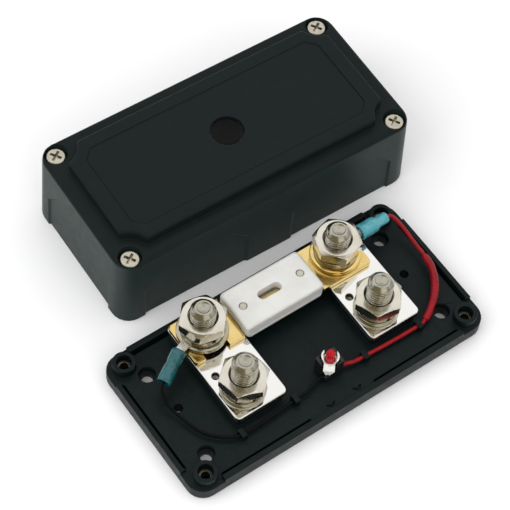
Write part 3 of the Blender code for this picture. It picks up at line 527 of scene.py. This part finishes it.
def softened(name, node, width, segments=2):
    """A copy of a CAD solid with flat faces merged and every sharp edge given a small round."""
    mesh = nodes[node].data.copy()
    mesh.materials.clear()
    work = bmesh.new()
    work.from_mesh(mesh)
    bmesh.ops.remove_doubles(work, verts=work.verts, dist=2e-6)
    bmesh.ops.dissolve_limit(work, angle_limit=math.radians(1.0), verts=work.verts, edges=work.edges)
    bmesh.ops.triangulate(work, faces=work.faces)
    work.to_mesh(mesh)
    work.free()
    obj = bpy.data.objects.new(name + "_soft", mesh)
    scene.collection.objects.link(obj)
    for face in mesh.polygons:
        face.use_smooth = True
    bevel = obj.modifiers.new("round", "BEVEL")
    bevel.width = width
    bevel.segments = segments
    bevel.limit_method = "ANGLE"
    bevel.angle_limit = math.radians(28)
    bevel.use_clamp_overlap = False
    bevel.miter_outer = "MITER_ARC"
    weighted = obj.modifiers.new("shade", "WEIGHTED_NORMAL")
    weighted.keep_sharp = False
    weighted.weight = 90
    graph = bpy.context.evaluated_depsgraph_get()
    done = bpy.data.meshes.new_from_object(obj.evaluated_get(graph))
    bpy.data.objects.remove(obj)
    corners = [Vector(corner.vector) for corner in done.corner_normals]
    for face in done.polygons:
        for i in face.loop_indices:
            if corners[i].dot(face.normal) < STRAY_NORMAL:
                corners[i] = face.normal.copy()
    done.normals_split_custom_set(corners)
    done.name = name
    piece = bpy.data.objects.new(name, done)
    scene.collection.objects.link(piece)
    return piece


# %% [markdown]
# ## Growing pieces with Geometry Nodes
# A tree is built once with named inputs for its sizes, then run with different values for each piece.
# The modifier is told its values by each socket's identifier, and its result becomes a plain mesh.

# %% A small workshop for node trees
class Tree:
    """A Geometry Nodes tree under construction."""

    def __init__(self, name, inputs):
        self.group = bpy.data.node_groups.new(name, "GeometryNodeTree")
        face = self.group.interface
        face.new_socket("Geometry", in_out="INPUT", socket_type="NodeSocketGeometry")
        for label, kind in inputs:
            face.new_socket(label, in_out="INPUT", socket_type="NodeSocket" + kind)
        face.new_socket("Geometry", in_out="OUTPUT", socket_type="NodeSocketGeometry")
        self.source = self.group.nodes.new("NodeGroupInput")
        self.sink = self.group.nodes.new("NodeGroupOutput")

    def add(self, kind, settings=None, **links):
        """A node whose inputs are values or other nodes' outputs; a keyword's _ stands for a space."""
        node = self.group.nodes.new(kind)
        for key, value in (settings or {}).items():
            setattr(node, key, value)
        for label, value in links.items():
            socket = node.inputs[label.replace("_", " ")]
            if isinstance(value, bpy.types.NodeSocket):
                self.group.links.new(value, socket)
            else:
                socket.default_value = value
        return node

    def given(self, label):
        return self.source.outputs[label]

    def finish_with(self, geometry):
        """Ends the tree as every tree here ends: real geometry with its finish on."""
        real = self.add("GeometryNodeRealizeInstances", Geometry=geometry)
        coated = self.add("GeometryNodeSetMaterial", Geometry=real.outputs[0], Material=self.given("Finish"))
        self.group.links.new(coated.outputs[0], self.sink.inputs[0])


def grow(name, tree, values, base_mesh=None, shift=None):
    """Runs a tree on a mesh and returns the result as a plain mesh object, its place in its mesh."""
    mesh = base_mesh or bpy.data.meshes.new(name + "_seed")
    seed = bpy.data.objects.new(name + "_seed", mesh)
    scene.collection.objects.link(seed)
    modifier = seed.modifiers.new("tree", "NODES")
    modifier.node_group = tree.group
    for item in tree.group.interface.items_tree:
        if item.item_type == "SOCKET" and item.in_out == "INPUT" and item.name in values:
            modifier[item.identifier] = values[item.name]
    graph = bpy.context.evaluated_depsgraph_get()
    done = bpy.data.meshes.new_from_object(seed.evaluated_get(graph))
    bpy.data.objects.remove(seed)
    if shift is not None:
        done.transform(shift)
    work = bmesh.new()
    work.from_mesh(done)
    bmesh.ops.recalc_face_normals(work, faces=work.faces)
    work.to_mesh(done)
    work.free()
    done.name = name
    return object_from(name, done)


# %% [markdown]
# ## The base plate
# The base is one moulding: a thick floor with a lip for the cover, grooves, screw bosses, raised pads
# under the bars and small posts that hold the leads. Its solid is right, so a softened copy is enough.
# Moulding leaves faint round marks where pins pushed the part out. They repeat, so a tree puts one thin
# ring on each point of a small cloud.

# %% Soften the base and add the pin marks
base = settle(softened("base_moulding", "base_plate", 0.28 * MM, 2), ["base_plate"], "case_plastic")

marks = Tree("pin_marks", [("Radius", "Float"), ("Line", "Float"), ("Finish", "Material")])
circle = marks.add("GeometryNodeCurvePrimitiveCircle", Resolution=40, Radius=marks.given("Radius"))
line = marks.add("GeometryNodeCurvePrimitiveCircle", Resolution=6, Radius=marks.given("Line"))
hoop = marks.add("GeometryNodeCurveToMesh", Curve=circle.outputs[0], Profile_Curve=line.outputs[0])
spots = marks.add("GeometryNodeMeshToPoints", Mesh=marks.given("Geometry"))
placed = marks.add("GeometryNodeInstanceOnPoints", Points=spots.outputs[0], Instance=hoop.outputs[0])
marks.finish_with(placed.outputs[0])

FLOOR_Z = 6.0 * MM
PIN_SPOTS = (
    (-60.0, -18.0), (-48.0, -24.7), (50.8, -24.8), (3.0, -5.0), (-2.0, 26.0), (-47.5, 25.0), (48.5, 25.2),
)
cloud = bpy.data.meshes.new("pin_cloud")
cloud.from_pydata([(x * MM, y * MM, FLOOR_Z) for x, y in PIN_SPOTS], [], [])
pin_marks = grow(
    "base_pin_marks",
    marks,
    {"Radius": 2.6 * MM, "Line": 0.06 * MM, "Finish": FINISHES["case_plastic"]},
    cloud,
)
settle(pin_marks, [], "case_plastic", "base")
print("pin marks:", len(PIN_SPOTS))

# %% [markdown]
# ## Bus bars and fuse
# The bars, the link and the two ceramic shells are pressed or cut shapes with lightly broken edges, so
# they are softened copies too. The ceramic gets a rounder edge than the metal. The small hole in each
# bar, beside its cable stud, is given a dark, dull cup as painted shade, so that it reads dark from above.

# %% Soften the bars, the link and the ceramic
SMALL_HOLE_LEFT_OF_STUD = 6.0 * MM
SMALL_HOLE_Y = 1.9 * MM
CUP_PROFILE = ((1.58, 0.35), (1.42, 0.45), (1.30, 1.9), (0.1, 2.2), (0.1, 2.45), (1.58, 2.45))

for side in SIDES:
    node = f"bus_bar_{side}"
    settle(softened(f"bar_{side}", node, 0.16 * MM), [node], "bar_nickel")
    x, top = centre(f"cable_stud_{side}").x - SMALL_HOLE_LEFT_OF_STUD, level(node, 1)
    # A dark cup in the hole, as painted shade.
    cup = [polar(x, SMALL_HOLE_Y, top - drop * MM, r * MM, 32) for r, drop in CUP_PROFILE]
    shade_cup = skin(f"bar_hole_shade_cup_{side}", cup, closed=True)
    settle(shade_cup, [], "insert_brass", body_of[node])
settle(softened("fuse_link", "fuse_element", 0.18 * MM), ["fuse_element"], "gold_plate")
for node in ("fuse_body_top", "fuse_body_bottom"):
    settle(softened(node + "_shell", node, 0.35 * MM, 3), [node], "ceramic")

# %% [markdown]
# ## Studs with real threads
# A thread is a rule, not a texture: its radius at any point depends on the height and the angle. Each
# stud is a skin of many rings whose radius follows that rule, cut back by a cone at the tip and
# dimpled at its centre. The head below has six flats, which is the same idea with a hexagon's rule.

# %% Cut the threads
PITCH = 1.5 * MM
STUD_R = 5.0 * MM
THREAD_DEPTH = 0.92 * MM
ROWS_PER_TURN = 9
AROUND = 60
HEAD_FLATS = 16.0 * MM
HEAD_HEIGHT = 5.0 * MM
THREAD_START = 12.2 * MM
TIP_HEIGHT = 1.8 * MM
TIP_CONE = ((0.3, 4.8), (0.6, 4.5), (0.9, 4.2), (1.2, 3.85), (1.5, 3.5), (1.72, 3.25))
TIP_FACE = ((3.05, 0.02), (2.9, 0.0), (2.6, 0.02))
TIP_DIMPLE = ((2.45, 0.2), (1.9, 0.4), (1.3, 0.62), (0.7, 0.85), (0.1, 1.05))


def hexagon_radius(across_flats, turned_by=0.0):
    """A hexagon's radius at an angle, one corner on +X before it is turned."""

    def radius(angle):
        part = (angle - turned_by) % (math.pi / 3)
        return across_flats / 2 / math.cos(part - math.pi / 6)

    return radius


def thread_radius(z, limit):
    """The radius of a right-hand thread at height z, held below limit."""

    def radius(angle):
        wave = abs(((z / PITCH - angle / (2 * math.pi)) % 1.0) * 2 - 1)
        crest = min(max((wave - 0.06) / 0.52, 0.0), 1.0)
        return min(STUD_R - THREAD_DEPTH * (1 - crest), limit)

    return radius


def threaded_stud(name, node):
    low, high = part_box(node)
    x, y = (low[0] + high[0]) / 2, (low[1] + high[1]) / 2
    head_top = low[2] + HEAD_HEIGHT
    flats = hexagon_radius(HEAD_FLATS)
    rings = [
        polar(x, y, low[2] + 0.02 * MM, lambda a: min(flats(a), 7.7 * MM), AROUND),
        polar(x, y, low[2] + 0.5 * MM, lambda a: min(flats(a), 8.6 * MM), AROUND),
        polar(x, y, low[2] + 0.9 * MM, flats, AROUND),
        polar(x, y, head_top, flats, AROUND),
        polar(x, y, head_top, STUD_R, AROUND),
    ]
    rings.append(polar(x, y, THREAD_START - 0.4 * MM, STUD_R, AROUND))
    tip = high[2] - TIP_HEIGHT
    rows = int((tip - THREAD_START) / (PITCH / ROWS_PER_TURN))
    for i in range(rows + 1):
        z = THREAD_START + (tip - THREAD_START) * i / rows
        rings.append(polar(x, y, z, thread_radius(z, STUD_R), AROUND))
    for rise, r in TIP_CONE:
        z = tip + rise * MM
        rings.append(polar(x, y, z, thread_radius(z, r * MM), AROUND))
    for r, drop in TIP_FACE + TIP_DIMPLE:
        rings.append(polar(x, y, high[2] - drop * MM, r * MM, AROUND))
    return settle(skin(name, rings), [node], "stud_nickel", finish_name="stud_satin")


for side in SIDES:
    for kind in ("fuse", "cable"):
        stud = threaded_stud(f"threaded_{kind}_stud_{side}", f"{kind}_stud_{side}")
print("stud faces:", len(stud.data.polygons))

# %% [markdown]
# ## Nuts
# A nut's outside is the smaller of two shapes at every point: a hexagon and a double cone. Where they
# meet, the curved chamfer lines of a real nut appear by themselves. The rings run up the outside and
# back down the bore, with a countersink at each end.

# %% Make the nuts
NUT_FLATS = 17.0 * MM
NUT_AROUND = 96
NUT_SHARP = math.radians(18)
NUT_FACE_R, NUT_CORNER_R = 8.05 * MM, 9.9 * MM
NUT_SLOPE = 1.0 * MM
NUT_MOUTH_R = 6.3 * MM
NUT_BORE_R = 5.35
CONE_STEPS = 8


def chamfered(flats, limit):
    return lambda a: min(flats(a), limit)


def hex_nut(name, node, turned_by=0.0):
    low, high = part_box(node)
    x, y = (low[0] + high[0]) / 2, (low[1] + high[1]) / 2
    z0, z1 = low[2], high[2]
    flats = hexagon_radius(NUT_FLATS, turned_by)
    edge_r = NUT_FACE_R - 0.12 * MM
    cones = []
    for i in range(CONE_STEPS + 1):
        t = i / CONE_STEPS
        cones.append((z0 + NUT_SLOPE * t, NUT_FACE_R + (NUT_CORNER_R - NUT_FACE_R) * t))
    cones += [(z1 - (z - z0), limit) for z, limit in reversed(cones)]
    rings = [polar(x, y, z0, NUT_MOUTH_R, NUT_AROUND), polar(x, y, z0, edge_r, NUT_AROUND)]
    rings += [polar(x, y, z, chamfered(flats, limit), NUT_AROUND) for z, limit in cones]
    rings += [polar(x, y, z1, edge_r, NUT_AROUND), polar(x, y, z1, NUT_MOUTH_R, NUT_AROUND)]
    mouth = [(5.85, z1), (5.75, z1 - 0.08 * MM), (NUT_BORE_R, z1 - 0.5 * MM)]
    foot = [(NUT_BORE_R, z0 + 0.5 * MM), (5.7, z0 + 0.02 * MM)]
    for r, z in mouth + foot:
        rings.append(polar(x, y, z, r * MM, NUT_AROUND))
    nut = skin(name, rings, closed=True)
    nut.data.set_sharp_from_angle(angle=NUT_SHARP)
    return settle(nut, [node], "stud_nickel")


NUT_TURN = {"fuse": {"left": -12, "right": 15}, "cable": {"left": -19, "right": -9}}

for side in SIDES:
    for kind in ("fuse", "cable"):
        nut = hex_nut(f"hex_{kind}_nut_{side}", f"{kind}_nut_{side}", math.radians(NUT_TURN[kind][side]))
print("nut faces:", len(nut.data.polygons))

# %% [markdown]
# ## Washers
# A flat washer is punched from sheet, so its upper edge is rounded over and its lower edge is not. It
# is turned from a short profile. A lock washer is a square band wound almost once round, so a tree
# sweeps a rounded square along one turn of a spiral.

# %% Turn the flat washers
WASHER_BORE_R = 5.3 * MM


def turned_ring(name, x, y, profile, count=96):
    """A closed ring from a closed (radius, height) profile, in metres."""
    return skin(name, [polar(x, y, z, r, count) for r, z in profile], closed=True)


for side in SIDES:
    for kind in ("fuse", "cable"):
        node = f"{kind}_flat_washer_{side}"
        low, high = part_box(node)
        x, y = centre(node)[:2]
        outer, inner = (high[0] - low[0]) / 2, WASHER_BORE_R
        z0, z1 = low[2], high[2]
        e = 0.35 * MM
        profile = [(inner, z0), (outer - 0.1 * MM, z0), (outer, z0 + 0.1 * MM), (outer, z1 - e)]
        profile += [(outer - e * 0.3, z1 - e * 0.3), (outer - e, z1)]
        profile += [(inner + 0.1 * MM, z1), (inner, z1 - 0.1 * MM)]
        washer = turned_ring(f"punched_{kind}_washer_{side}", x, y, profile)
        coat = "gold_plate" if node == "fuse_flat_washer_right" else "washer_nickel_shaded"
        settle(washer, [node], "gold_plate" if coat == "gold_plate" else "stud_nickel", finish_name=coat)

# %% Wind the lock washers
winding = Tree(
    "lock_washer",
    [("Radius", "Float"), ("Width", "Float"), ("Thickness", "Float"), ("Rise", "Float"), ("Turn", "Float"),
     ("Finish", "Material")],
)
spiral = winding.add(
    "GeometryNodeCurveSpiral",
    Resolution=90,
    Rotations=winding.given("Turn"),
    Start_Radius=winding.given("Radius"),
    End_Radius=winding.given("Radius"),
    Height=winding.given("Rise"),
)
square = winding.add(
    "GeometryNodeCurvePrimitiveQuadrilateral", Width=winding.given("Width"), Height=winding.given("Thickness")
)
eased = winding.add(
    "GeometryNodeFilletCurve", {"mode": "POLY"}, Curve=square.outputs[0], Count=3, Radius=0.25 * MM
)
band = winding.add(
    "GeometryNodeCurveToMesh", Curve=spiral.outputs[0], Profile_Curve=eased.outputs[0], Fill_Caps=True
)
winding.finish_with(band.outputs[0])

SPLIT_TURN = Matrix.Rotation(math.radians(-100), 4, "Z")
SPLIT_RISE = 0.4 * MM
ALMOST_ONE_TURN = 0.975
for side in SIDES:
    for kind in ("fuse", "cable"):
        node = f"{kind}_spring_washer_{side}"
        low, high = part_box(node)
        x, y = centre(node)[:2]
        outer, inner = (high[0] - low[0]) / 2, WASHER_BORE_R
        thickness = high[2] - low[2] - SPLIT_RISE
        sizes = {
            "Radius": (outer + inner) / 2,
            "Width": outer - inner,
            "Thickness": thickness,
            "Rise": SPLIT_RISE,
            "Turn": ALMOST_ONE_TURN,
            "Finish": FINISHES["washer_nickel_shaded"],
        }
        lift = Matrix.Translation((x, y, low[2] + thickness / 2))
        wound = grow(f"wound_{kind}_washer_{side}", winding, sizes, shift=lift @ SPLIT_TURN)
        settle(wound, [node], "stud_nickel")
print("lock washer faces:", len(wound.data.polygons))

# %% [markdown]
# ## Screw inserts
# Each boss holds a threaded brass insert low in its bore. A plain turned ring makes the wall, and the
# thread inside is a triangular ridge swept along a spiral by a tree.

# %% Make the inserts and their threads
ridge = Tree(
    "insert_thread", [("Radius", "Float"), ("Turns", "Float"), ("Height", "Float"), ("Finish", "Material")]
)
coil = ridge.add(
    "GeometryNodeCurveSpiral",
    Resolution=28,
    Rotations=ridge.given("Turns"),
    Start_Radius=ridge.given("Radius"),
    End_Radius=ridge.given("Radius"),
    Height=ridge.given("Height"),
)
wedge = ridge.add("GeometryNodeCurvePrimitiveCircle", Resolution=3, Radius=0.26 * MM)
thread = ridge.add(
    "GeometryNodeCurveToMesh", Curve=coil.outputs[0], Profile_Curve=wedge.outputs[0], Fill_Caps=True
)
ridge.finish_with(thread.outputs[0])

for side in SIDES:
    for end in ("front", "back"):
        node = f"insert_{end}_{side}"
        low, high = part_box(node)
        x, y = centre(node)[:2]
        z0, z1 = low[2], high[2]
        profile = [(2.1, z0), (2.6, z0), (2.6, z1 - 0.2 * MM), (2.4, z1), (2.25, z1), (2.1, z1 - 0.3 * MM)]
        wall = turned_ring(f"insert_wall_{end}_{side}", x, y, [(r * MM, z) for r, z in profile], 40)
        settle(wall, [node], "insert_brass")
        sizes = {
            "Radius": 2.1 * MM,
            "Turns": 7.0,
            "Height": z1 - z0 - 1.2 * MM,
            "Finish": FINISHES["insert_brass"],
        }
        inner_thread = grow(
            f"insert_thread_{end}_{side}", ridge, sizes, shift=Matrix.Translation((x, y, z0 + 0.6 * MM))
        )
        settle(inner_thread, [], "insert_brass", "base")
print("insert thread faces:", len(inner_thread.data.polygons))

# %% [markdown]
# ## Rivets and lamp
# Both are turned shapes with a domed end, so rings of falling radius make them. The lamp's collar and
# socket are softened copies of their solids.

# %% Turn the rivets
for side in SIDES:
    node = f"fuse_rivet_{side}"
    low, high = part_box(node)
    x, y = centre(node)[:2]
    z0, z1 = low[2], high[2]
    rows = [(1.1, z0), (1.4, z0 + 0.3 * MM), (1.4, z1 - 0.45 * MM), (1.32, z1 - 0.2 * MM)]
    rows += [(1.1, z1 - 0.05 * MM), (0.75, z1), (0.6, z1 - 0.12 * MM), (0.2, z1 - 0.2 * MM)]
    rivet = skin(f"domed_rivet_{side}", [polar(x, y, z, r * MM, 40) for r, z in rows])
    settle(rivet, [node], "rivet_metal")

# %% Build the lamp
settle(softened("lamp_socket", "led_socket", 0.15 * MM), ["led_socket"], "socket_black")
settle(softened("lamp_collar", "led_holder", 0.10 * MM), ["led_holder"], "holder_white")

low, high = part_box("led_lens")
x, y = centre("led_lens")[:2]
z0, z1 = low[2], high[2]
DOME_R = 1.75
DOME_STEP = 9.6
lens_rows = [(1.85, z0), (2.0, z0 + 0.12 * MM), (2.0, z0 + 0.6 * MM), (1.9, z0 + 0.7 * MM)]
dome_start = z1 - DOME_R * MM
lens_rows += [(DOME_R, z0 + 0.72 * MM), (DOME_R, dome_start)]
for i in range(1, 10):
    a = math.radians(DOME_STEP * i)
    lens_rows.append((DOME_R * math.cos(a), dome_start + DOME_R * MM * math.sin(a)))
lens = skin("lamp_lens", [polar(x, y, z, r * MM, 48) for r, z in lens_rows])
settle(lens, ["led_lens"], "lens_red")
print("lamp height:", round((z1 - z0) / MM, 1), "mm")

# %% [markdown]
# ## Ring terminals and their sleeves
# The terminals are stamped and crimped, and softened copies show that. A sleeve is soft tubing that
# follows the crimp beneath it, so its wall swells and pinches along its length. It is a skin of rings
# set square to the sleeve's own axis, out along the outside and back along the inside.

# %% Make terminals and sleeves
SLEEVE_ENDS = {
    "left": ((-42.4, 16.3, 17.7), (-54.0, 9.6, 15.2)),
    "right": ((43.4, 20.8, 17.8), (57.2, 21.8, 16.0)),
}
SLEEVE_SHAPE = {
    "left": [(0.0, 2.75), (0.06, 2.95), (0.3, 2.92), (0.45, 2.62), (0.6, 2.85), (0.94, 2.95), (1.0, 2.8)],
    "right": [(0.0, 3.05), (0.04, 3.2), (0.25, 3.1), (0.4, 3.2), (0.54, 3.15), (0.66, 2.5), (0.72, 2.35),
              (0.97, 2.35), (1.0, 2.25)],
}
SLEEVE_WALL = 0.55
SLEEVE_SLIDE = 0.5 * MM


def sleeve(name, side):
    start, end = (Vector(p) * MM for p in SLEEVE_ENDS[side])
    axis = (end - start).normalized()
    start, end = start + axis * SLEEVE_SLIDE, end + axis * SLEEVE_SLIDE
    sideways = axis.cross(Vector((0, 0, 1))).normalized()
    upward = sideways.cross(axis)
    count = 40

    def ring_at(share, radius):
        middle = start.lerp(end, share)
        ring = []
        for k in range(count):
            a = 2 * math.pi * k / count
            ring.append(middle + radius * MM * (math.cos(a) * sideways + math.sin(a) * upward))
        return ring

    shape = SLEEVE_SHAPE[side]
    dense = []
    for (s0, r0), (s1, r1) in zip(shape, shape[1:]):
        for i in range(4):
            t = i / 4
            ease = t * t * (3 - 2 * t)
            dense.append((s0 + (s1 - s0) * t, r0 + (r1 - r0) * ease))
    dense.append(shape[-1])
    rings = [ring_at(s, r) for s, r in dense]
    rings += [ring_at(s, r - SLEEVE_WALL) for s, r in reversed(dense)]
    return skin(name, rings, closed=True)


for side in SIDES:
    node = f"ring_terminal_{side}"
    settle(softened(f"crimp_terminal_{side}", node, 0.12 * MM), [node], "terminal_tin")
    node = f"terminal_sleeve_{side}"
    settle(sleeve(f"tinted_sleeve_{side}", side), [node], "sleeve_teal" if side == "left" else "sleeve_blue")

# %% [markdown]
# ## Leads
# The leads are held at both ends and in the base's clips, so their routes never change. Each route is
# a list of places, smoothed to a curve, and a tree sweeps a round jacket along it. The same tree makes
# the shrunk tube over the resistor, with a wider radius in its middle.

# %% Lay the leads
ENTRY = (-18.3, 8.5)
BLACK_ROUTE = (
    (1.1, *ENTRY), (-4.0, -18.7, 8.5), (-9.5, -20.3, 8.2), (-15.4, -20.6, 8.0), (-27.0, -21.4, 8.0),
    (-40.0, -21.4, 8.0), (-46.3, -18.7, 8.0), (-52.0, -12.5, 8.0), (-55.0, -3.3, 8.4), (-56.6, 3.2, 10.0),
    (-56.6, 6.8, 13.0), (-54.69, 9.2, 15.05), (-49.33, 12.3, 16.21),
)
RED_ROUTE = (
    (4.9, *ENTRY), (9.2, -18.8, 8.5), (12.4, -19.7, 8.2), (17.3, -20.0, 8.0), (30.3, -20.6, 8.0),
    (42.5, -20.7, 8.0), (45.8, -20.2, 8.3), (50.2, -17.9, 9.3), (52.2, -16.4, 9.7),
)
TAIL_ROUTE = (
    (61.0, -5.2, 10.2), (61.8, -3.4, 10.2), (62.6, 1.8, 10.2), (62.9, 9.0, 10.2), (62.8, 14.5, 11.3),
    (61.6, 19.8, 13.8), (59.6, 21.8, 15.5), (57.5, 21.82, 15.96), (51.31, 21.37, 16.77),
)
SHRINK_ROUTE = (
    (46.2, -20.1, 8.35), (50.2, -17.9, 9.3), (55.0, -14.0, 10.0), (59.2, -8.8, 10.2), (61.8, -3.4, 10.2),
    (62.6, 1.8, 10.2),
)


def route_mesh(name, places, spacing=1.2):
    """A chain of edges along a Catmull-Rom curve through these places, given in millimetres."""
    knots = [Vector(p) for p in places]
    padded = [2 * knots[0] - knots[1]] + knots + [2 * knots[-1] - knots[-2]]
    points = [knots[0]]
    for a, b, c, d in zip(padded, padded[1:], padded[2:], padded[3:]):
        pieces = max(2, round((c - b).length / spacing))
        for i in range(1, pieces + 1):
            t = i / pieces
            pull = (c - a) * t + (2 * a - 5 * b + 4 * c - d) * t * t + (3 * b - a - 3 * c + d) * t**3
            points.append(b + pull / 2)
    mesh = bpy.data.meshes.new(name)
    mesh.from_pydata([p * MM for p in points], [(i, i + 1) for i in range(len(points) - 1)], [])
    return mesh, points


jacket = Tree("lead_jacket", [("Radius", "Float"), ("Facets", "Int"), ("Finish", "Material")])
route = jacket.add("GeometryNodeMeshToCurve", Mesh=jacket.given("Geometry"))
section = jacket.add(
    "GeometryNodeCurvePrimitiveCircle", Resolution=jacket.given("Facets"), Radius=jacket.given("Radius")
)
covered = jacket.add(
    "GeometryNodeCurveToMesh", Curve=route.outputs[0], Profile_Curve=section.outputs[0], Fill_Caps=True
)
jacket.finish_with(covered.outputs[0])

for name, node, places, radius, coat in (
    ("lead_black_run", "black_lead", BLACK_ROUTE, 0.6, "lead_black"),
    ("lead_red_run", "red_lead_lamp_side", RED_ROUTE, 0.8, "lead_red"),
    ("lead_red_tail", "red_lead_terminal_side", TAIL_ROUTE, 0.8, "lead_red"),
):
    mesh, points = route_mesh(name + "_route", places)
    lead = grow(name, jacket, {"Radius": radius * MM, "Facets": 20, "Finish": FINISHES[coat]}, mesh)
    settle(lead, [node], coat)
    length = sum((b - a).length for a, b in zip(points, points[1:]))
    print(name, "length:", round(length, 1), "mm")

# %% Shrink the tube over the resistor
TUBE_R, BEAD_SWELL, RIPPLE, END_PINCH = 1.38, 0.22, 0.05, 0.12
TUBE_WALL = 0.3
mesh, points = route_mesh("shrink_route", SHRINK_ROUTE, 0.8)
count = 28
tube_rings = []
bore_rings = []
for i, point in enumerate(points):
    share = i / (len(points) - 1)
    bulge = math.exp(-(((share - 0.5) / 0.20) ** 2))
    end_pinch = min(share, 1 - share) / 0.05
    ripple = RIPPLE * math.sin(share * 23.0) * (1 - bulge)
    radius = TUBE_R + BEAD_SWELL * bulge + ripple - END_PINCH * max(0.0, 1 - end_pinch)
    before, after = points[max(i - 1, 0)], points[min(i + 1, len(points) - 1)]
    along = (after - before).normalized()
    sideways = along.cross(Vector((0, 0, 1))).normalized()
    upward = sideways.cross(along)
    for rings, r in ((tube_rings, radius), (bore_rings, radius - TUBE_WALL)):
        ring = []
        for k in range(count):
            a = 2 * math.pi * k / count
            ring.append((point + r * (math.cos(a) * sideways + math.sin(a) * upward)) * MM)
        rings.append(ring)
tube = skin("shrunk_tube", tube_rings + bore_rings[::-1], closed=True)
settle(tube, ["resistor_sleeve"], "shrink_red")
settle(softened("resistor_bead", "indicator_resistor", 0.12 * MM), ["indicator_resistor"], "resistor_body")

# %% [markdown]
# ## The cover and its screws
# The cover is a drafted tub with a stepped top, screw wells and shallow panels in its sides. Its solid
# is softened with a slightly larger round than the base. The screws are pan heads with a cross recess:
# the head is turned, and a tapered cross is cut out of it.

# %% Soften the cover
lid = softened("cover_moulding", "cover", 0.30 * MM, 2)
settle(lid, ["cover"], "case_plastic", finish_name="cover_plastic")
print("cover faces:", len(lid.data.polygons))

# %% Make the cover screws
COVER_TURN = math.radians(-1.8)
CROSS_TURN = 0.6
SCREW_PITCH = 0.7 * MM
SHANK_R, ROOT_R = 2.0, 1.65
HEAD_R, HEAD_EDGE_R = 4.3, 4.15
HEAD_ROUND = 1.25


def pan_screw(name, node):
    low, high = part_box(node)
    x, y = (low[0] + high[0]) / 2, (low[1] + high[1]) / 2
    z0, z1 = low[2], high[2]
    seat = z1 - 2.4 * MM
    rows = [(1.2, z0), (1.9, z0 + 0.8 * MM)]
    z = z0 + 0.9 * MM
    while z < seat - 1.2 * MM:
        rows += [(SHANK_R, z), (ROOT_R, z + SCREW_PITCH / 2)]
        z += SCREW_PITCH
    rows += [(SHANK_R, seat - 0.6 * MM), (SHANK_R, seat), (HEAD_EDGE_R, seat)]
    rows += [(HEAD_R, seat + 0.12 * MM), (HEAD_R, seat + 0.75 * MM)]
    for i in range(1, 8):
        a = math.radians(90 * i / 8)
        r = HEAD_R - HEAD_ROUND + HEAD_ROUND * math.cos(a)
        rows.append((r, seat + 0.75 * MM + 1.65 * MM * math.sin(a)))
    rows += [(2.9, z1), (1.0, z1)]
    screw = skin(name + "_blank", [polar(x, y, height, r * MM, 48) for r, height in rows])
    cutter = bpy.data.meshes.new(name + "_cross")
    work = bmesh.new()
    for angle in (0.0, math.pi / 2):
        spin = Matrix.Translation((x, y, 0)) @ Matrix.Rotation(angle + COVER_TURN + CROSS_TURN, 4, "Z")
        wing = []
        for half_long, half_wide, height in ((1.1, 0.36, z1 - 1.9 * MM), (2.6, 0.62, z1 + 0.3 * MM)):
            for sx, sy in ((-1, -1), (1, -1), (1, 1), (-1, 1)):
                wing.append(work.verts.new(spin @ Vector((sx * half_long * MM, sy * half_wide * MM, height))))
        for quad in ((0, 1, 2, 3), (4, 5, 6, 7), (0, 1, 5, 4), (1, 2, 6, 5), (2, 3, 7, 6), (3, 0, 4, 7)):
            work.faces.new([wing[i] for i in quad])
    bmesh.ops.recalc_face_normals(work, faces=work.faces)
    work.to_mesh(cutter)
    work.free()
    cross = bpy.data.objects.new(name + "_cross", cutter)
    scene.collection.objects.link(cross)
    cut = screw.modifiers.new("cross", "BOOLEAN")
    cut.operation = "DIFFERENCE"
    cut.solver = "EXACT"
    cut.use_self = True
    cut.object = cross
    graph = bpy.context.evaluated_depsgraph_get()
    done = bpy.data.meshes.new_from_object(screw.evaluated_get(graph))
    bpy.data.objects.remove(screw)
    bpy.data.objects.remove(cross)
    done.name = name
    piece = object_from(name, done)
    return settle(piece, [node], "screw_steel")


for side in SIDES:
    for end in ("front", "back"):
        screw = pan_screw(f"pan_screw_{end}_{side}", f"cover_screw_{end}_{side}")
print("screw faces:", len(screw.data.polygons))

# %% [markdown]
# ## The bench
# The floor is a plain pale sheet a little below everything, wide enough to fill every view.

# %% Lay the floor
floor_finish = finish("bench", (0.97, 0.97, 0.97), mottle=(3.0, (0.95, 0.95, 0.95)), polish=(40.0, 0.55, 0.7))
HALF_BENCH = 3.0
BENCH_DROP = 0.2 * MM
bench_corners = [(sx * HALF_BENCH, sy * HALF_BENCH, 0) for sx, sy in ((-1, -1), (1, -1), (1, 1), (-1, 1))]
floor_mesh = bpy.data.meshes.new("bench_floor")
floor_mesh.from_pydata(bench_corners, [], [(0, 1, 2, 3)])
floor_mesh.materials.append(floor_finish)
floor_mesh.transform(Matrix.Translation((0, 0, -BENCH_DROP)))
bench_floor = bpy.data.objects.new("bench_floor", floor_mesh)
scene.collection.objects.link(bench_floor)
